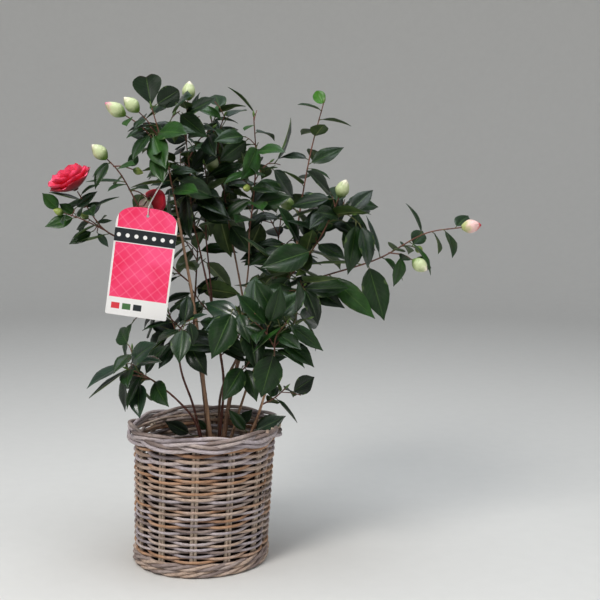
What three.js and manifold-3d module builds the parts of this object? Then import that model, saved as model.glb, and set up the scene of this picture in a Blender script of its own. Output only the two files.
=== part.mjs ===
// A young camellia with several stems, planted in a round wicker basket. Millimetres, +Z up.
// The origin is the centre of the basket's flat underside, and the front of the plant faces -Y.
import * as THREE from "three";
import { mergeVertices } from "three/addons/utils/BufferGeometryUtils.js";
import Module from "manifold-3d";

const wasm = await Module();
wasm.setup();

// Driving dimensions
const GAP = 0.3; // clearance that touching neighbours keep
const FINEST = 0.5; // a corner that stands out by less than this is smoothed away
const BASKET = {
  height: 240,
  baseRadius: 115,
  bodyRadius: 122,
  wall: 14,
  floor: 12,
  footTop: 24,
  rimFoot: 209,
  lean: 10, // how far the rim's centre stands to +X of the base's centre
  stakes: 12, // upright pairs of canes that the rows are woven round
  firstStake: -92.2, // degrees
  rows: 35,
  weave: 5, // how far a row stands out where its neighbours pass behind
};
// Plaited borders: centre radius and height, half width and half height, how many times a strand
// comes to the outside round the ring, how far it then stands out, faces round it and sides.
const RIM = { radius: 124.4, level: 226, wide: 8.6, high: 14, turns: 9, stands: 1.6, faces: 36, sides: 6 };
const FOOT = { radius: 111, level: 12, wide: 7, high: 14, turns: 24, stands: 1, faces: 48, sides: 4 };
const RIM_TURN = 15; // degrees from +X to a strand of the rim at its outermost
const COMPOST_TOP = 180;
const TAG = {
  width: 100,
  height: 179,
  arch: 30, // height of the arched top edge
  thick: 1.2,
  tilt: 8, // degrees, top towards +X
  hole: 2.6,
  holeDrop: 13, // hole centre below the arch's top
  centre: [-84, -64, 514],
};
const STRING_RADIUS = 0.8;
const ROOT_FLARE = 0.7; // how much a stem's foot widens, as a share of its radius
const LIMB_SIDES = 6;
const BOUGH_STEPS = 6;
const STEM_STEPS = 7;
const ARM_STEPS = 4;
const WOOD_ROOM = 0.7; // clear space round a side twig
const PETIOLE = 8; // stalk of a full-sized leaf, past its root
const LEAF_THICK = 1.1;
const LEAF_WIDTH = 0.5; // of its length
const LEAF_LEAN = 60; // degrees between a leaf and its twig
const TWIG_LEAN = 44; // degrees between a side twig and its shoot
const TURN = 137.5; // degrees from one leaf to the next round the twig
const BLOSSOM_LOBES = 7;
const LEAF_ROOM = 1.2; // clear space over and under a leaf
const TRIES = [0, 34, -34, 68, -68, 104]; // degrees a leaf may turn round its twig to find room

// Stems rise from the compost: the few points that each passes through, and its radius at foot
// and tip.
const STEMS = {
  stem_a: [[[24, -13, 180], [13, -16, 274], [-3, -22, 425], [-28, -30, 585]], 3.5, 2.1],
  stem_b: [[[30, 13, 180], [41, 16, 300], [34, 22, 358], [18, 30, 450]], 2.7, 1.9],
  stem_l: [[[31, 27, 180], [36, 30, 283], [66, 40, 350], [74, 46, 440]], 2.5, 1.9],
  stem_m: [[[37, -1, 180], [58, -3, 303], [86, -6, 393], [154, -14, 488]], 4.3, 2.5],
  stem_n: [[[72, -16, 180], [104, -36, 262], [122, -70, 330], [130, -90, 368]], 2.6, 1.8],
  stem_k: [[[10, -2, 180], [-10, -12, 270], [-25, -28, 322], [-31, -40, 365]], 2.4, 1.6],
  stem_i: [[[9, -24, 180], [-4, -34, 244], [-30, -54, 284], [-61, -76, 318]], 2.2, 1.5],
  stem_p: [[[14, 20, 180], [2, 44, 290], [-14, 70, 390], [-12, 96, 470]], 2.6, 1.6],
  stem_q: [[[46, 14, 180], [74, 50, 270], [104, 84, 350], [122, 100, 430]], 2.6, 1.6],
};

// Boughs: the stem that carries each, where on its length, the points beyond, and the two radii.
// One that starts at share 1 goes on from the stem's tip.
const BOUGHS = {
  bough_b: ["stem_b", 1, [[9, 24, 493], [-2, 26, 545]], 1.8, 1.4],
  bough_c: ["stem_b", 0.95, [[16, 42, 492], [11, 45, 545]], 1.5, 1.3],
  bough_d: ["stem_l", 1, [[62, 57, 502], [51, 60, 560]], 1.8, 1.4],
  bough_e: ["stem_l", 0.95, [[84, 34, 500], [86, 26, 560]], 1.5, 1.3],
  bough_f: ["stem_m", 1, [[166, -4, 530], [168, 0, 570]], 2.1, 1.6],
  bough_h: ["stem_m", 0.76, [[152, -20, 456], [208, -20, 487]], 2.1, 1.8],
  bough_bloom: ["stem_a", 0.93, [[-75, -40, 549], [-124, -50, 553]], 1.7, 1.4],
  bough_bud: ["stem_a", 0.985, [[-60, -34, 596], [-92, -42, 606]], 1.6, 1.3],
};

// Masses of foliage. on: the limb that carries the mass, and where on its length; share 1 is its
// tip. path: the few points that the mass's own stem passes through from there.
// leaves: how many leave the stem, from what share of its length, and their length.
// twigs: side twigs by rule, as count, length and leaves on each. arms: side twigs that reach a
// known tip, as share of the stem, tip, leaves and what the tip bears. marked: the leaves that
// stand out most, as share of the stem, heading and rise in degrees, length, width as a share of
// it, roll and droop in degrees. tip: what the stem bears. reach: how far out its leaves may stand.
const MASSES = {
  crown_a: {
    on: ["stem_a", 1],
    path: [[-43, -36, 668], [-54, -42, 716], [-67, -46, 764]],
    leaves: [9, 0.1, 62],
    twigs: [2, 46, 2],
    arms: [
      [0.58, [-112, -72, 754], 3, "bud"],
      [0.68, [-88, -58, 758], 1, "bud"],
      [0.62, [-36, -16, 752], 2],
    ],
    marked: [
      [1, 190, 80, 47, 0.95, 0, 6],
      [0.93, 20, 50, 42, 0.85, -20, 10],
      [0.68, 172, 28, 56, 0.4, 0, 40],
    ],
    reach: 90,
    seed: 11,
  },
  spray_bloom: {
    on: ["bough_bloom", 1],
    path: [[-148, -58, 570], [-172, -68, 607], [-184, -76, 630]],
    leaves: [5, 0.3, 46],
    arms: [[0.22, [-208, -78, 596], 3, "smallbud"], [0.12, [-176, -40, 586], 2, "smallbud"]],
    marked: [
      [0.15, 200, -8, 54, 0.5, 30, 12],
      [0.83, 205, 24, 50, 0.55, 20, 20],
      [0.65, 10, 38, 48, 0.42, -20, 30],
    ],
    tip: "bloom",
    reach: 85,
    seed: 23,
  },
  spray_bud: {
    on: ["bough_bud", 1],
    path: [[-114, -50, 650], [-126, -56, 668], [-140, -61, 683]],
    leaves: [5, 0.15, 52],
    arms: [[0.31, [-76, -24, 616], 1, "halfbloom"], [0.8, [-96, -54, 664], 1, "smallbud"]],
    marked: [[0.46, 185, 12, 58, 0.36, 20, 24], [0.9, 235, -30, 48, 0.42, 0, 50]],
    tip: "bud",
    reach: 85,
    seed: 31,
  },
  crown_b: {
    on: ["bough_b", 1],
    path: [[-13, 30, 590], [-13, 34, 640], [-24, 40, 738]],
    leaves: [9, 0.05, 66],
    twigs: [3, 60, 3],
    arms: [[0.84, [-17, 42, 782], 1, "bud"]],
    marked: [
      [0.56, 100, -62, 74, 0.74, 0, 24],
      [0.59, -20, 52, 60, 0.4, 40, 10],
      [0.98, 15, 10, 46, 0.5, 0, 30],
    ],
    reach: 92,
    seed: 47,
  },
  crown_c: {
    on: ["bough_c", 1],
    path: [[10, 50, 590], [12, 55, 630], [18, 60, 662]],
    leaves: [7, 0.05, 60],
    twigs: [2, 60, 3],
    marked: [[0.9, 0, 24, 56, 0.55, 30, 10]],
    tip: "bud",
    reach: 90,
    seed: 53,
  },
  crown_d: {
    on: ["bough_d", 1],
    path: [[43, 67, 610], [35, 75, 665], [18, 90, 750]],
    leaves: [10, 0.05, 64],
    twigs: [2, 60, 3],
    marked: [[0.06, -40, -46, 62, 0.52, 30, 20], [0.98, 15, 24, 46, 0.34, 0, 60]],
    reach: 95,
    seed: 61,
  },
  crown_e: {
    on: ["bough_e", 1],
    path: [[93, 20, 613], [98, 15, 683], [95, 10, 752]],
    leaves: [11, 0.05, 62],
    twigs: [1, 50, 2],
    arms: [[0.36, [86, 0, 634], 1, "smallbud"]],
    marked: [[0.235, -30, 14, 66, 0.5, 40, 16], [0.29, 195, -22, 56, 0.42, -20, 40]],
    reach: 90,
    seed: 71,
  },
  crown_f: {
    on: ["bough_f", 1],
    path: [[176, 8, 620], [192, 22, 702], [212, 38, 776]],
    leaves: [12, 0.02, 56],
    arms: [[0.08, [158, 18, 602], 0, "bud"]],
    marked: [[0.98, 150, 62, 25, 0.85, 0, 10], [0.49, 5, 30, 62, 0.44, 30, 20]],
    reach: 92,
    seed: 83,
  },
  crown_g: {
    on: ["stem_m", 0.97],
    path: [[196, -32, 538], [224, -46, 592], [236, -58, 622]],
    leaves: [8, 0.1, 76],
    twigs: [2, 50, 2],
    marked: [
      [0.07, 205, 48, 100, 0.44, 30, 20],
      [0.08, -30, -24, 96, 0.4, 30, 24],
      [0.13, 195, -4, 88, 0.36, 40, 20],
      [0.41, 60, 78, 68, 0.56, 0, 10],
    ],
    tip: "bud",
    reach: 112,
    seed: 97,
  },
  crown_h: {
    on: ["bough_h", 1],
    path: [[302, -26, 518], [380, -28, 560], [440, -30, 570]],
    leaves: [8, 0.38, 66],
    arms: [[0.48, [358, -52, 516], 3, "bud"], [0.57, [366, -12, 534], 1, "smallbud"]],
    marked: [
      [0.05, -30, -38, 96, 0.36, 30, 16],
      [0.32, -50, -66, 90, 0.48, 0, 14],
      [0.28, 195, 14, 84, 0.32, 40, 26],
      [0.23, 80, 80, 88, 0.5, 0, 12],
      [0.41, 120, 68, 70, 0.24, 60, 14],
    ],
    tip: "bud",
    reach: 112,
    seed: 103,
  },
  crown_n: {
    on: ["stem_n", 1],
    path: [[134, -104, 400], [152, -112, 424]],
    leaves: [6, 0.1, 66],
    twigs: [2, 56, 3],
    marked: [
      [0.1, 230, -66, 70, 0.66, 0, 20],
      [0.9, 200, -26, 62, 0.42, 30, 24],
      [0.98, -20, -30, 66, 0.36, 20, 30],
    ],
    reach: 105,
    seed: 113,
  },
  crown_k: {
    on: ["stem_k", 1],
    path: [[-33, -50, 400], [-44, -54, 434]],
    leaves: [6, 0.02, 64],
    twigs: [2, 57, 3],
    marked: [[0.5, 205, -30, 84, 0.26, 40, 10], [0.3, 195, -50, 52, 0.62, 0, 20]],
    reach: 105,
    seed: 127,
  },
  crown_i: {
    on: ["stem_i", 1],
    path: [[-84, -98, 338], [-104, -108, 348]],
    leaves: [6, 0.02, 60],
    twigs: [2, 50, 2],
    marked: [[0.98, 200, -24, 70, 0.5, 30, 20]],
    reach: 95,
    seed: 131,
  },
  crown_p: {
    on: ["stem_p", 1],
    path: [[-10, 108, 530], [-18, 112, 590], [-30, 106, 640]],
    leaves: [9, 0.02, 64],
    twigs: [3, 70, 3],
    reach: 105,
    seed: 149,
  },
  crown_q: {
    on: ["stem_q", 1],
    path: [[132, 102, 490], [134, 96, 540], [140, 88, 590]],
    leaves: [9, 0.02, 66],
    twigs: [3, 70, 3],
    reach: 105,
    seed: 151,
  },
};

// Short leafy spurs on the lower stems. Each row: carrying limb, share of its length, heading and
// rise in degrees, length, leaves, leaf length, seed.
const SPURS = {
  spur_a1: ["stem_a", 0.5, 190, 30, 56, 4, 68, 163],
  spur_a2: ["stem_a", 0.74, 160, 35, 60, 4, 62, 167],
  spur_b1: ["stem_b", 0.62, 20, 40, 60, 4, 64, 173],
  spur_b2: ["stem_b", 0.88, 150, 35, 60, 4, 62, 179],
  spur_l1: ["stem_l", 0.85, 20, 25, 66, 4, 72, 181],
  spur_m1: ["stem_m", 0.42, -50, 30, 60, 4, 68, 191],
  spur_m2: ["stem_m", 0.66, -110, 30, 66, 4, 74, 193],
  spur_m3: ["stem_m", 0.82, 70, 20, 70, 4, 68, 197],
  spur_h1: ["bough_h", 0.6, -70, 10, 40, 3, 84, 199],
  spur_n1: ["stem_n", 0.5, 10, 25, 46, 4, 58, 211],
};

// Materials
const FINISH = {
  wicker: { color: 0x9a7d62, roughness: 0.75, metalness: 0 },
  compost: { color: 0x241a12, roughness: 1, metalness: 0 },
  bark: { color: 0x6d4c36, roughness: 0.7, metalness: 0 },
  foliage: { color: 0x1f4a26, roughness: 0.35, metalness: 0 },
  card: { color: 0xe8486a, roughness: 0.4, metalness: 0 },
  string: { color: 0xe6e4e0, roughness: 0.9, metalness: 0 },
};
const materials = {};
for (const [name, finish] of Object.entries(FINISH)) {
  materials[name] = new THREE.MeshStandardMaterial(finish);
}

// Vectors and chance
const V = (x, y, z) => new THREE.Vector3(x, y, z);
const UP = V(0, 0, 1);
const LIGHT = V(-0.15, -0.5, 0.85); // where the leaves turn their upper faces
const rad = (degrees) => (degrees * Math.PI) / 180;
const headed = (heading, rise) => {
  const level = Math.cos(rad(rise));
  return V(Math.cos(rad(heading)) * level, Math.sin(rad(heading)) * level, Math.sin(rad(rise)));
};
const along = (base, direction, distance) => base.clone().addScaledVector(direction, distance);
const square = (v, axis) => v.clone().addScaledVector(axis, -v.dot(axis));

// A repeatable run of numbers between 0 and 1.
function chance(seed) {
  let state = seed * 7919 + 17;
  return () => {
    state = (state * 16807) % 2147483647;
    return state / 2147483647;
  };
}

// Solids
function solidOf(geometry) {
  geometry.deleteAttribute("normal");
  geometry.deleteAttribute("uv");
  const merged = mergeVertices(geometry, 1e-4);
  const corners = merged.index.array;
  const faces = [];
  for (let i = 0; i < corners.length; i += 3) {
    const [a, b, c] = corners.slice(i, i + 3);
    if (a !== b && b !== c && c !== a) faces.push(a, b, c);
  }
  const vertProperties = merged.attributes.position.array;
  const triVerts = new Uint32Array(faces);
  return new wasm.Manifold(new wasm.Mesh({ numProp: 3, vertProperties, triVerts }));
}

// The largest body of several joined solids: loose scraps and sealed hollows go.
function fuse(solids) {
  const bodies = wasm.Manifold.union(solids).decompose();
  return bodies.reduce((a, b) => (a.volume() > b.volume() ? a : b));
}

// A tube or blade: rings of a cylinder, each corner moved by place(ring, across, over). A pointed
// one ends in a single corner.
function bent(sides, steps, pointed, place) {
  const geometry = new THREE.CylinderGeometry(pointed ? 0 : 1, 1, 1, sides, steps);
  const position = geometry.attributes.position;
  for (let i = 0; i < position.count; i++) {
    const [x, y, z] = [position.getX(i), position.getY(i), position.getZ(i)];
    const ring = Math.round((y + 0.5) * steps);
    const size = Math.hypot(x, z);
    const corner = size < 1e-6 ? place(ring, 0, 0) : place(ring, x / size, z / size);
    position.setXYZ(i, corner.x, corner.y, corner.z);
  }
  return solidOf(geometry);
}

// Evenly spaced points along a smooth path, with the direction and a steady sideways vector at
// each. start is the direction at its foot, where that isn't the path's own.
function pathOf(points, steps, start) {
  const at = new THREE.CatmullRomCurve3(points).getSpacedPoints(steps);
  const ahead = at.map((p, i) => {
    const [before, after] = [at[Math.max(i - 1, 0)], at[Math.min(i + 1, steps)]];
    return after.clone().sub(before).normalize();
  });
  if (start) ahead[0] = start;
  const side = [];
  let last = Math.abs(ahead[0].x) < 0.8 ? V(1, 0, 0) : V(0, 0, 1);
  for (const t of ahead) {
    last = square(last, t).normalize();
    side.push(last);
  }
  return { at, ahead, side, steps };
}

// Where a path is at a share of its length, in the same terms.
function spotOn(path, share) {
  const place = Math.min(Math.max(share, 0), 1) * path.steps;
  const low = Math.min(Math.floor(place), path.steps - 1);
  const part = place - low;
  const ahead = path.ahead[low].clone().lerp(path.ahead[low + 1], part).normalize();
  const side = square(path.side[low].clone().lerp(path.side[low + 1], part), ahead).normalize();
  return { at: path.at[low].clone().lerp(path.at[low + 1], part), ahead, side };
}

// A tapering limb along a path, with a flare at its foot where flare is over 0.
function limbSolid(path, foot, tip, sides, flare = 0) {
  const { at, ahead, side, steps } = path;
  const cross = ahead.map((t, i) => side[i].clone().cross(t));
  const radius = (i) => {
    const share = i / steps;
    return foot + (tip - foot) * share + foot * flare * Math.exp(-share * 22);
  };
  return bent(sides, steps, false, (i, x, z) =>
    at[i].clone().addScaledVector(side[i], x * radius(i)).addScaledVector(cross[i], z * radius(i)),
  );
}

// Foliage
// A leaf: stalk, then an oval blade folded along its midrib, drooping to a point. room thickens
// the blade, to test whether it has space; the stalk is then left out.
function leafSolid(leaf, room = 0) {
  const { base, ahead, over, length, width, droop } = leaf;
  const across = ahead.clone().cross(over);
  const stalk = (PETIOLE * length) / 70;
  const rings = room
    ? [[0.2, 0.7], [0.46, 1], [0.78, 0.66], [1.02, 0]]
    : [[0, 0], [0.28, 0.92], [0.68, 0.82], [1, 0]];
  const last = rings.length - 1;
  return bent(4, last, true, (i, x, z) => {
    const [share, wide] = rings[i];
    const reached = i === 0 && !room ? 0 : stalk + share * length;
    const bend = rad(droop) * Math.max(share, 0);
    const lean = bend * 0.5;
    const run = ahead.clone().multiplyScalar(Math.cos(lean)).addScaledVector(over, -Math.sin(lean));
    const lift = over.clone().multiplyScalar(Math.cos(bend)).addScaledVector(ahead, Math.sin(bend));
    const half = Math.max((wide * width * length) / 2, 0.9) + room * 0.6;
    const thick = LEAF_THICK / 2 + room;
    const fold = (1 - Math.abs(x)) * half * 0.22;
    const middle = along(base, run, reached);
    return middle.addScaledVector(across, x * half).addScaledVector(lift, z * thick - fold);
  });
}

// A leaf's place on its twig: the seeded rule turns, tilts and sizes each one.
function leafOn(path, share, turn, size, draw, twigRadius) {
  const spot = spotOn(path, share);
  const cross = spot.side.clone().cross(spot.ahead);
  const swing = (draw() - 0.5) * 24;
  const lean = rad(LEAF_LEAN + (draw() - 0.5) * 26);
  const length = size * (0.8 + 0.34 * draw()) * (1 - 0.22 * share);
  const droop = 26 + 46 * draw();
  const roll = rad((draw() - 0.5) * 46);
  const width = LEAF_WIDTH * (0.92 + 0.16 * draw());
  return (extra) => {
    const round = rad(turn + swing + extra);
    const outward = spot.side.clone().multiplyScalar(Math.cos(round));
    outward.addScaledVector(cross, Math.sin(round));
    const ahead = spot.ahead.clone().multiplyScalar(Math.cos(lean));
    ahead.addScaledVector(outward, Math.sin(lean));
    ahead.addScaledVector(UP, -0.2).normalize();
    const over = square(spot.ahead, ahead).multiplyScalar(0.7);
    over.add(square(LIGHT, ahead)).normalize().applyAxisAngle(ahead, roll);
    const base = along(spot.at, outward, twigRadius * 0.2);
    return { base, ahead, over, length, width, droop };
  };
}

// A leaf with a known heading and rise, for the few that mark the plant's outline.
function markedLeaf(path, [share, heading, rise, length, width, roll, droop]) {
  const spot = spotOn(path, share);
  const ahead = headed(heading, rise);
  const facing = Math.abs(ahead.z) > 0.8 ? V(0, -1, 0) : LIGHT;
  const over = square(facing, ahead).normalize().applyAxisAngle(ahead, rad(roll));
  return { base: spot.at, ahead, over, length, width, droop };
}

// A bud: a pointed egg with its foot sunk on the twig's tip.
function budSolid(base, ahead, length) {
  const girth = length > 20 ? [0.22, 0.78, 1, 0.8, 0.42, 0] : [0.3, 0.96, 0.82, 0];
  const side = square(Math.abs(ahead.x) < 0.8 ? V(1, 0, 0) : UP, ahead).normalize();
  const cross = side.clone().cross(ahead);
  return bent(6, girth.length - 1, true, (i, x, z) => {
    const radius = girth[i] * length * 0.34;
    const middle = along(base, ahead, (i / (girth.length - 1)) * length - 1.5);
    return middle.addScaledVector(side, x * radius).addScaledVector(cross, z * radius);
  });
}

// A blossom: one cup whose wavy rim turns out and whose middle rises in a low cone. open runs
// from 0, shut, to 1, flat.
function blossomSolid(base, ahead, radius, open) {
  const side = square(Math.abs(ahead.x) < 0.8 ? V(1, 0, 0) : UP, ahead).normalize();
  const cross = side.clone().cross(ahead);
  const depth = radius * (1.1 - 0.5 * open);
  const rings = [[0.16, 0], [0.62, 0.3], [1, 0.86], [0.78, 1], [0.3, 0.72], [0, 0.9]];
  const last = rings.length - 1;
  return bent(BLOSSOM_LOBES * 2, last, true, (i, x, z) => {
    const [wide, high] = rings[i];
    const lobe = Math.cos(BLOSSOM_LOBES * Math.atan2(x, z)) * wide;
    const girth = radius * wide * (0.62 + 0.38 * open) * (1 + 0.1 * lobe);
    const middle = along(base, ahead, depth * (high + 0.1 * lobe) - 1.5);
    return middle.addScaledVector(side, x * girth).addScaledVector(cross, z * girth);
  });
}

const BEARS = {
  bud: (base, ahead) => budSolid(base, ahead, 32),
  smallbud: (base, ahead) => budSolid(base, ahead, 17),
  bloom: (base, ahead) => blossomSolid(base, ahead, 37, 0.75),
  halfbloom: (base, ahead) => blossomSolid(base, ahead, 24, 0.3),
};

// Basket and compost
function lean(geometry) {
  const position = geometry.attributes.position;
  for (let i = 0; i < position.count; i++) {
    position.setX(i, position.getX(i) + (BASKET.lean * position.getZ(i)) / BASKET.height);
  }
  return geometry;
}

function turned(profile, segments) {
  const points = profile.map(([r, z]) => new THREE.Vector2(r, z));
  return new THREE.LatheGeometry(points, segments).rotateX(Math.PI / 2);
}

const outerRadius = (z) =>
  BASKET.baseRadius + ((BASKET.bodyRadius - BASKET.baseRadius) * z) / BASKET.height;
const innerRadius = (z) => outerRadius(z) - BASKET.wall;

// Moves each corner of a turned solid out from the axis: out(radius, angle, height).
function bulged(geometry, out) {
  const position = geometry.attributes.position;
  for (let i = 0; i < position.count; i++) {
    const [x, y, z] = [position.getX(i), position.getY(i), position.getZ(i)];
    const size = Math.hypot(x, y);
    const share = size < 1 ? 1 : 1 + out(size, Math.atan2(y, x), z) / size;
    position.setXY(i, x * share, y * share);
  }
  return geometry;
}

// A border of canes wound round each other, as one ring ridged by turns over and under its middle.
function plaitSolid({ radius, level, wide, high, turns, stands, faces, sides }, start) {
  const profile = [];
  for (let k = 0; k <= sides; k++) {
    const turn = ((k + 0.5) * 2 * Math.PI) / sides;
    profile.push([radius + wide * Math.cos(turn), level + high * Math.sin(turn)]);
  }
  const ring = bulged(turned(profile, faces), (size, angle, z) => {
    return Math.sign((size - radius) * (z - level)) * stands * Math.cos(turns * (angle - rad(start)));
  });
  return solidOf(lean(ring));
}

// The woven wall: each row passes in front of every second stake, and the next row the others.
function basketSolid() {
  const { baseRadius, floor, footTop, rimFoot, stakes, firstStake, rows, weave } = BASKET;
  const pitch = (rimFoot - footTop) / rows;
  const level = (k) => footTop + (k + 0.5) * pitch;
  const profile = [[0, 0], [baseRadius - 8, 0], [baseRadius - 4, footTop - 4]];
  for (let k = 0; k < rows; k++) profile.push([outerRadius(level(k)) - weave / 2, level(k)]);
  const top = RIM.level - RIM.high * 0.3;
  profile.push([outerRadius(top) - weave / 2, top]);
  profile.push([innerRadius(top), top], [innerRadius(floor), floor], [0, floor]);
  const wall = bulged(turned(profile, stakes * 2), (size, angle, z) => {
    const row = Math.round((z - level(0)) / pitch);
    const woven = z > footTop && z < rimFoot && size > innerRadius(z) + 1;
    const side = row % 2 ? -1 : 1;
    return woven ? (weave / 2) * side * Math.cos((stakes / 2) * (angle + Math.PI / 2)) : 0;
  });
  wall.rotateZ(rad(firstStake + 90));
  return fuse([solidOf(lean(wall)), plaitSolid(RIM, RIM_TURN), plaitSolid(FOOT, 0)]);
}

function compostSolid() {
  const low = BASKET.floor + GAP;
  const profile = [
    [0, low],
    [innerRadius(low) - GAP, low],
    [innerRadius(COMPOST_TOP) - GAP, COMPOST_TOP - 3],
    [innerRadius(COMPOST_TOP) * 0.6, COMPOST_TOP - GAP],
    [0, COMPOST_TOP - GAP],
  ];
  const side = turned(profile, BASKET.stakes * 2).rotateZ(rad(BASKET.firstStake + 90));
  return solidOf(lean(side));
}

// Tag: a card with an arched top, hung by a string from the left-hand shoot
const tagAxes = () => {
  const up = V(Math.sin(rad(TAG.tilt)), 0, Math.cos(rad(TAG.tilt)));
  const right = V(Math.cos(rad(TAG.tilt)), 0, -Math.sin(rad(TAG.tilt)));
  return { up, right, centre: V(...TAG.centre) };
};

function tagSolid() {
  const [half, top] = [TAG.width / 2, TAG.height / 2];
  const shape = new THREE.Shape();
  shape.moveTo(-half, -top);
  shape.lineTo(half, -top);
  shape.lineTo(half, top - TAG.arch);
  shape.bezierCurveTo(half, top, half * 0.4, top, 0, top);
  shape.bezierCurveTo(-half * 0.4, top, -half, top, -half, top - TAG.arch);
  const hole = new THREE.Path();
  hole.absarc(0, top - TAG.holeDrop, TAG.hole, 0, 2 * Math.PI, true);
  shape.holes.push(hole);
  const geometry = new THREE.ExtrudeGeometry(shape, {
    depth: TAG.thick,
    bevelEnabled: false,
    curveSegments: 5,
  });
  const { up, right, centre } = tagAxes();
  const back = up.clone().cross(right);
  geometry.translate(0, 0, -TAG.thick / 2);
  geometry.applyMatrix4(new THREE.Matrix4().makeBasis(right, up, back.negate()).setPosition(centre));
  return solidOf(geometry);
}

// The string goes once round the shoot, down through the tag's hole and up again to its knot.
function stringSolid(shoot, shootRadius) {
  const { up, centre } = tagAxes();
  const hole = along(centre, up, TAG.height / 2 - TAG.holeDrop);
  const ring = shootRadius + GAP + STRING_RADIUS;
  const round = (degrees) => V(Math.cos(rad(degrees)), Math.sin(rad(degrees)), 0);
  const loop = [-60, 20, 110, 200, 256].map((a) => along(shoot, round(a), ring));
  const front = along(shoot, round(-84), ring + 2);
  const knot = bent(5, 4, false, (i, x, z) => {
    const girth = 2.4 * Math.sin(((i + 0.5) * Math.PI) / 5);
    return V(front.x + x * girth, front.y - z * girth, front.z + (i - 2) * 1.2);
  });
  const card = TAG.thick / 2 + STRING_RADIUS + 2 * GAP;
  const by = (y, rise) => along(hole, up, rise).add(V(0, y, 0));
  const bottom = by(0, -STRING_RADIUS);
  const down = [front, by(-card - 1, TAG.holeDrop + 4), by(-card, TAG.hole), by(-card / 2, 0), bottom];
  const rise = [bottom, by(card / 2, 0), by(card, TAG.hole), by(card + 1, TAG.holeDrop + 3), front];
  const strands = [loop, down, rise].map((points, k) => {
    const path = pathOf(points, k ? 15 : 6);
    return limbSolid(path, STRING_RADIUS, STRING_RADIUS, 4);
  });
  return fuse([knot, ...strands]);
}

// Building the plant
const camellia = new THREE.Group();

function addNode(name, solid, material, finest = FINEST) {
  const mesh = solid.asOriginal().simplify(finest).getMesh();
  const geometry = new THREE.BufferGeometry();
  geometry.setAttribute("position", new THREE.BufferAttribute(mesh.vertProperties, 3));
  geometry.setIndex(new THREE.BufferAttribute(mesh.triVerts, 1));
  geometry.computeVertexNormals();
  const made = new THREE.Mesh(geometry, materials[material]);
  made.name = name;
  camellia.add(made);
}

// What stands in the way of new growth: each entry is a solid, its box and the node it is in.
const standing = [];

function stand(solid, owner) {
  const { min, max } = solid.boundingBox();
  standing.push({ solid, min, max, owner });
}

function meets(a, b) {
  return [0, 1, 2].every((k) => a.min[k] < b.max[k] && b.min[k] < a.max[k]);
}

// Whether a solid has its space to itself. own names the node whose entries don't count.
function free(solid, own) {
  const box = solid.boundingBox();
  return standing.every((other) => {
    if (other.owner === own || !meets(box, other)) return true;
    const shared = solid.intersect(other.solid);
    const empty = shared.isEmpty();
    shared.delete();
    return empty;
  });
}

addNode("basket", basketSolid(), "wicker");
addNode("compost", compostSolid(), "compost");

const limbs = {};
function addLimb(name, path, foot, tip, flare) {
  const solid = limbSolid(path, foot, tip, LIMB_SIDES, flare);
  const level = flare ? solid.trimByPlane([0, 0, 1], COMPOST_TOP) : solid;
  limbs[name] = { path, foot, tip };
  addNode(name, level, "bark");
  stand(level, name);
}

// The path of a shoot that springs from a limb: on from its tip, or square out of its side.
function rooted(carrier, share, points, steps) {
  const { path, foot, tip } = limbs[carrier];
  const spot = spotOn(path, share);
  const beyond = points.map((p) => V(...p));
  if (share === 1) return pathOf([along(spot.at, spot.ahead, GAP), ...beyond], steps, spot.ahead);
  const out = square(beyond[0].clone().sub(spot.at), spot.ahead).normalize();
  const thick = foot + (tip - foot) * share;
  return pathOf([along(spot.at, out, thick + GAP), ...beyond], steps, out);
}

for (const [name, [points, foot, tip]] of Object.entries(STEMS)) {
  addLimb(name, pathOf(points.map((p) => V(...p)), 10), foot, tip, ROOT_FLARE);
}
for (const [name, [carrier, share, points, foot, tip]] of Object.entries(BOUGHS)) {
  addLimb(name, rooted(carrier, share, points, BOUGH_STEPS), foot, tip, 0);
}

const tag = tagSolid();
addNode("tag", tag, "card");
stand(tag, "tag");

// A spur is a mass like the rest, with its stem worked out from its heading and length.
for (const [name, row] of Object.entries(SPURS)) {
  const [carrier, share, heading, rise, length, count, size, seed] = row;
  const start = spotOn(limbs[carrier].path, share).at;
  const mid = along(start, headed(heading, rise), length * 0.55);
  const end = along(mid, headed(heading, rise + 16), length * 0.5);
  MASSES[name] = {
    on: [carrier, share],
    path: [mid.toArray(), end.toArray()],
    leaves: [count, 0.2, size],
    reach: 100,
    seed,
  };
}

// Wood first, then leaves, so that every shoot has room before any leaf is placed.
const SHOOT = { foot: 1.5, tip: 1.0, sides: 4 };
const TWIG = { foot: 1.2, tip: 0.9, sides: 3 };
const grown = {};
for (const [name, mass] of Object.entries(MASSES)) {
  const stem = rooted(...mass.on, mass.path, STEM_STEPS);
  const solids = [limbSolid(stem, SHOOT.foot, SHOOT.tip, SHOOT.sides)];
  const shoots = [{ path: stem, leaves: mass.leaves, radius: SHOOT.tip }];
  const fruit = [];
  if (mass.tip) fruit.push(BEARS[mass.tip](stem.at[STEM_STEPS], stem.ahead[STEM_STEPS]));
  for (const [share, tip, count, bears] of mass.arms ?? []) {
    const path = armPath(stem, share, V(...tip));
    solids.push(limbSolid(path, TWIG.foot, TWIG.tip, TWIG.sides));
    shoots.push({ path, leaves: [count, 0.3, mass.leaves[2] * 0.86], radius: TWIG.tip });
    if (bears) fruit.push(BEARS[bears](path.at[ARM_STEPS], path.ahead[ARM_STEPS]));
  }
  for (const solid of [...solids, ...fruit]) stand(solid, name);
  grown[name] = { solids: [...solids, ...fruit], shoots };
}

function armPath(stem, share, tip) {
  const spot = spotOn(stem, share);
  const mid = spot.at.clone().lerp(tip, 0.5).addScaledVector(spot.ahead, spot.at.distanceTo(tip) * 0.12);
  return pathOf([spot.at, mid, tip], ARM_STEPS);
}

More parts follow.
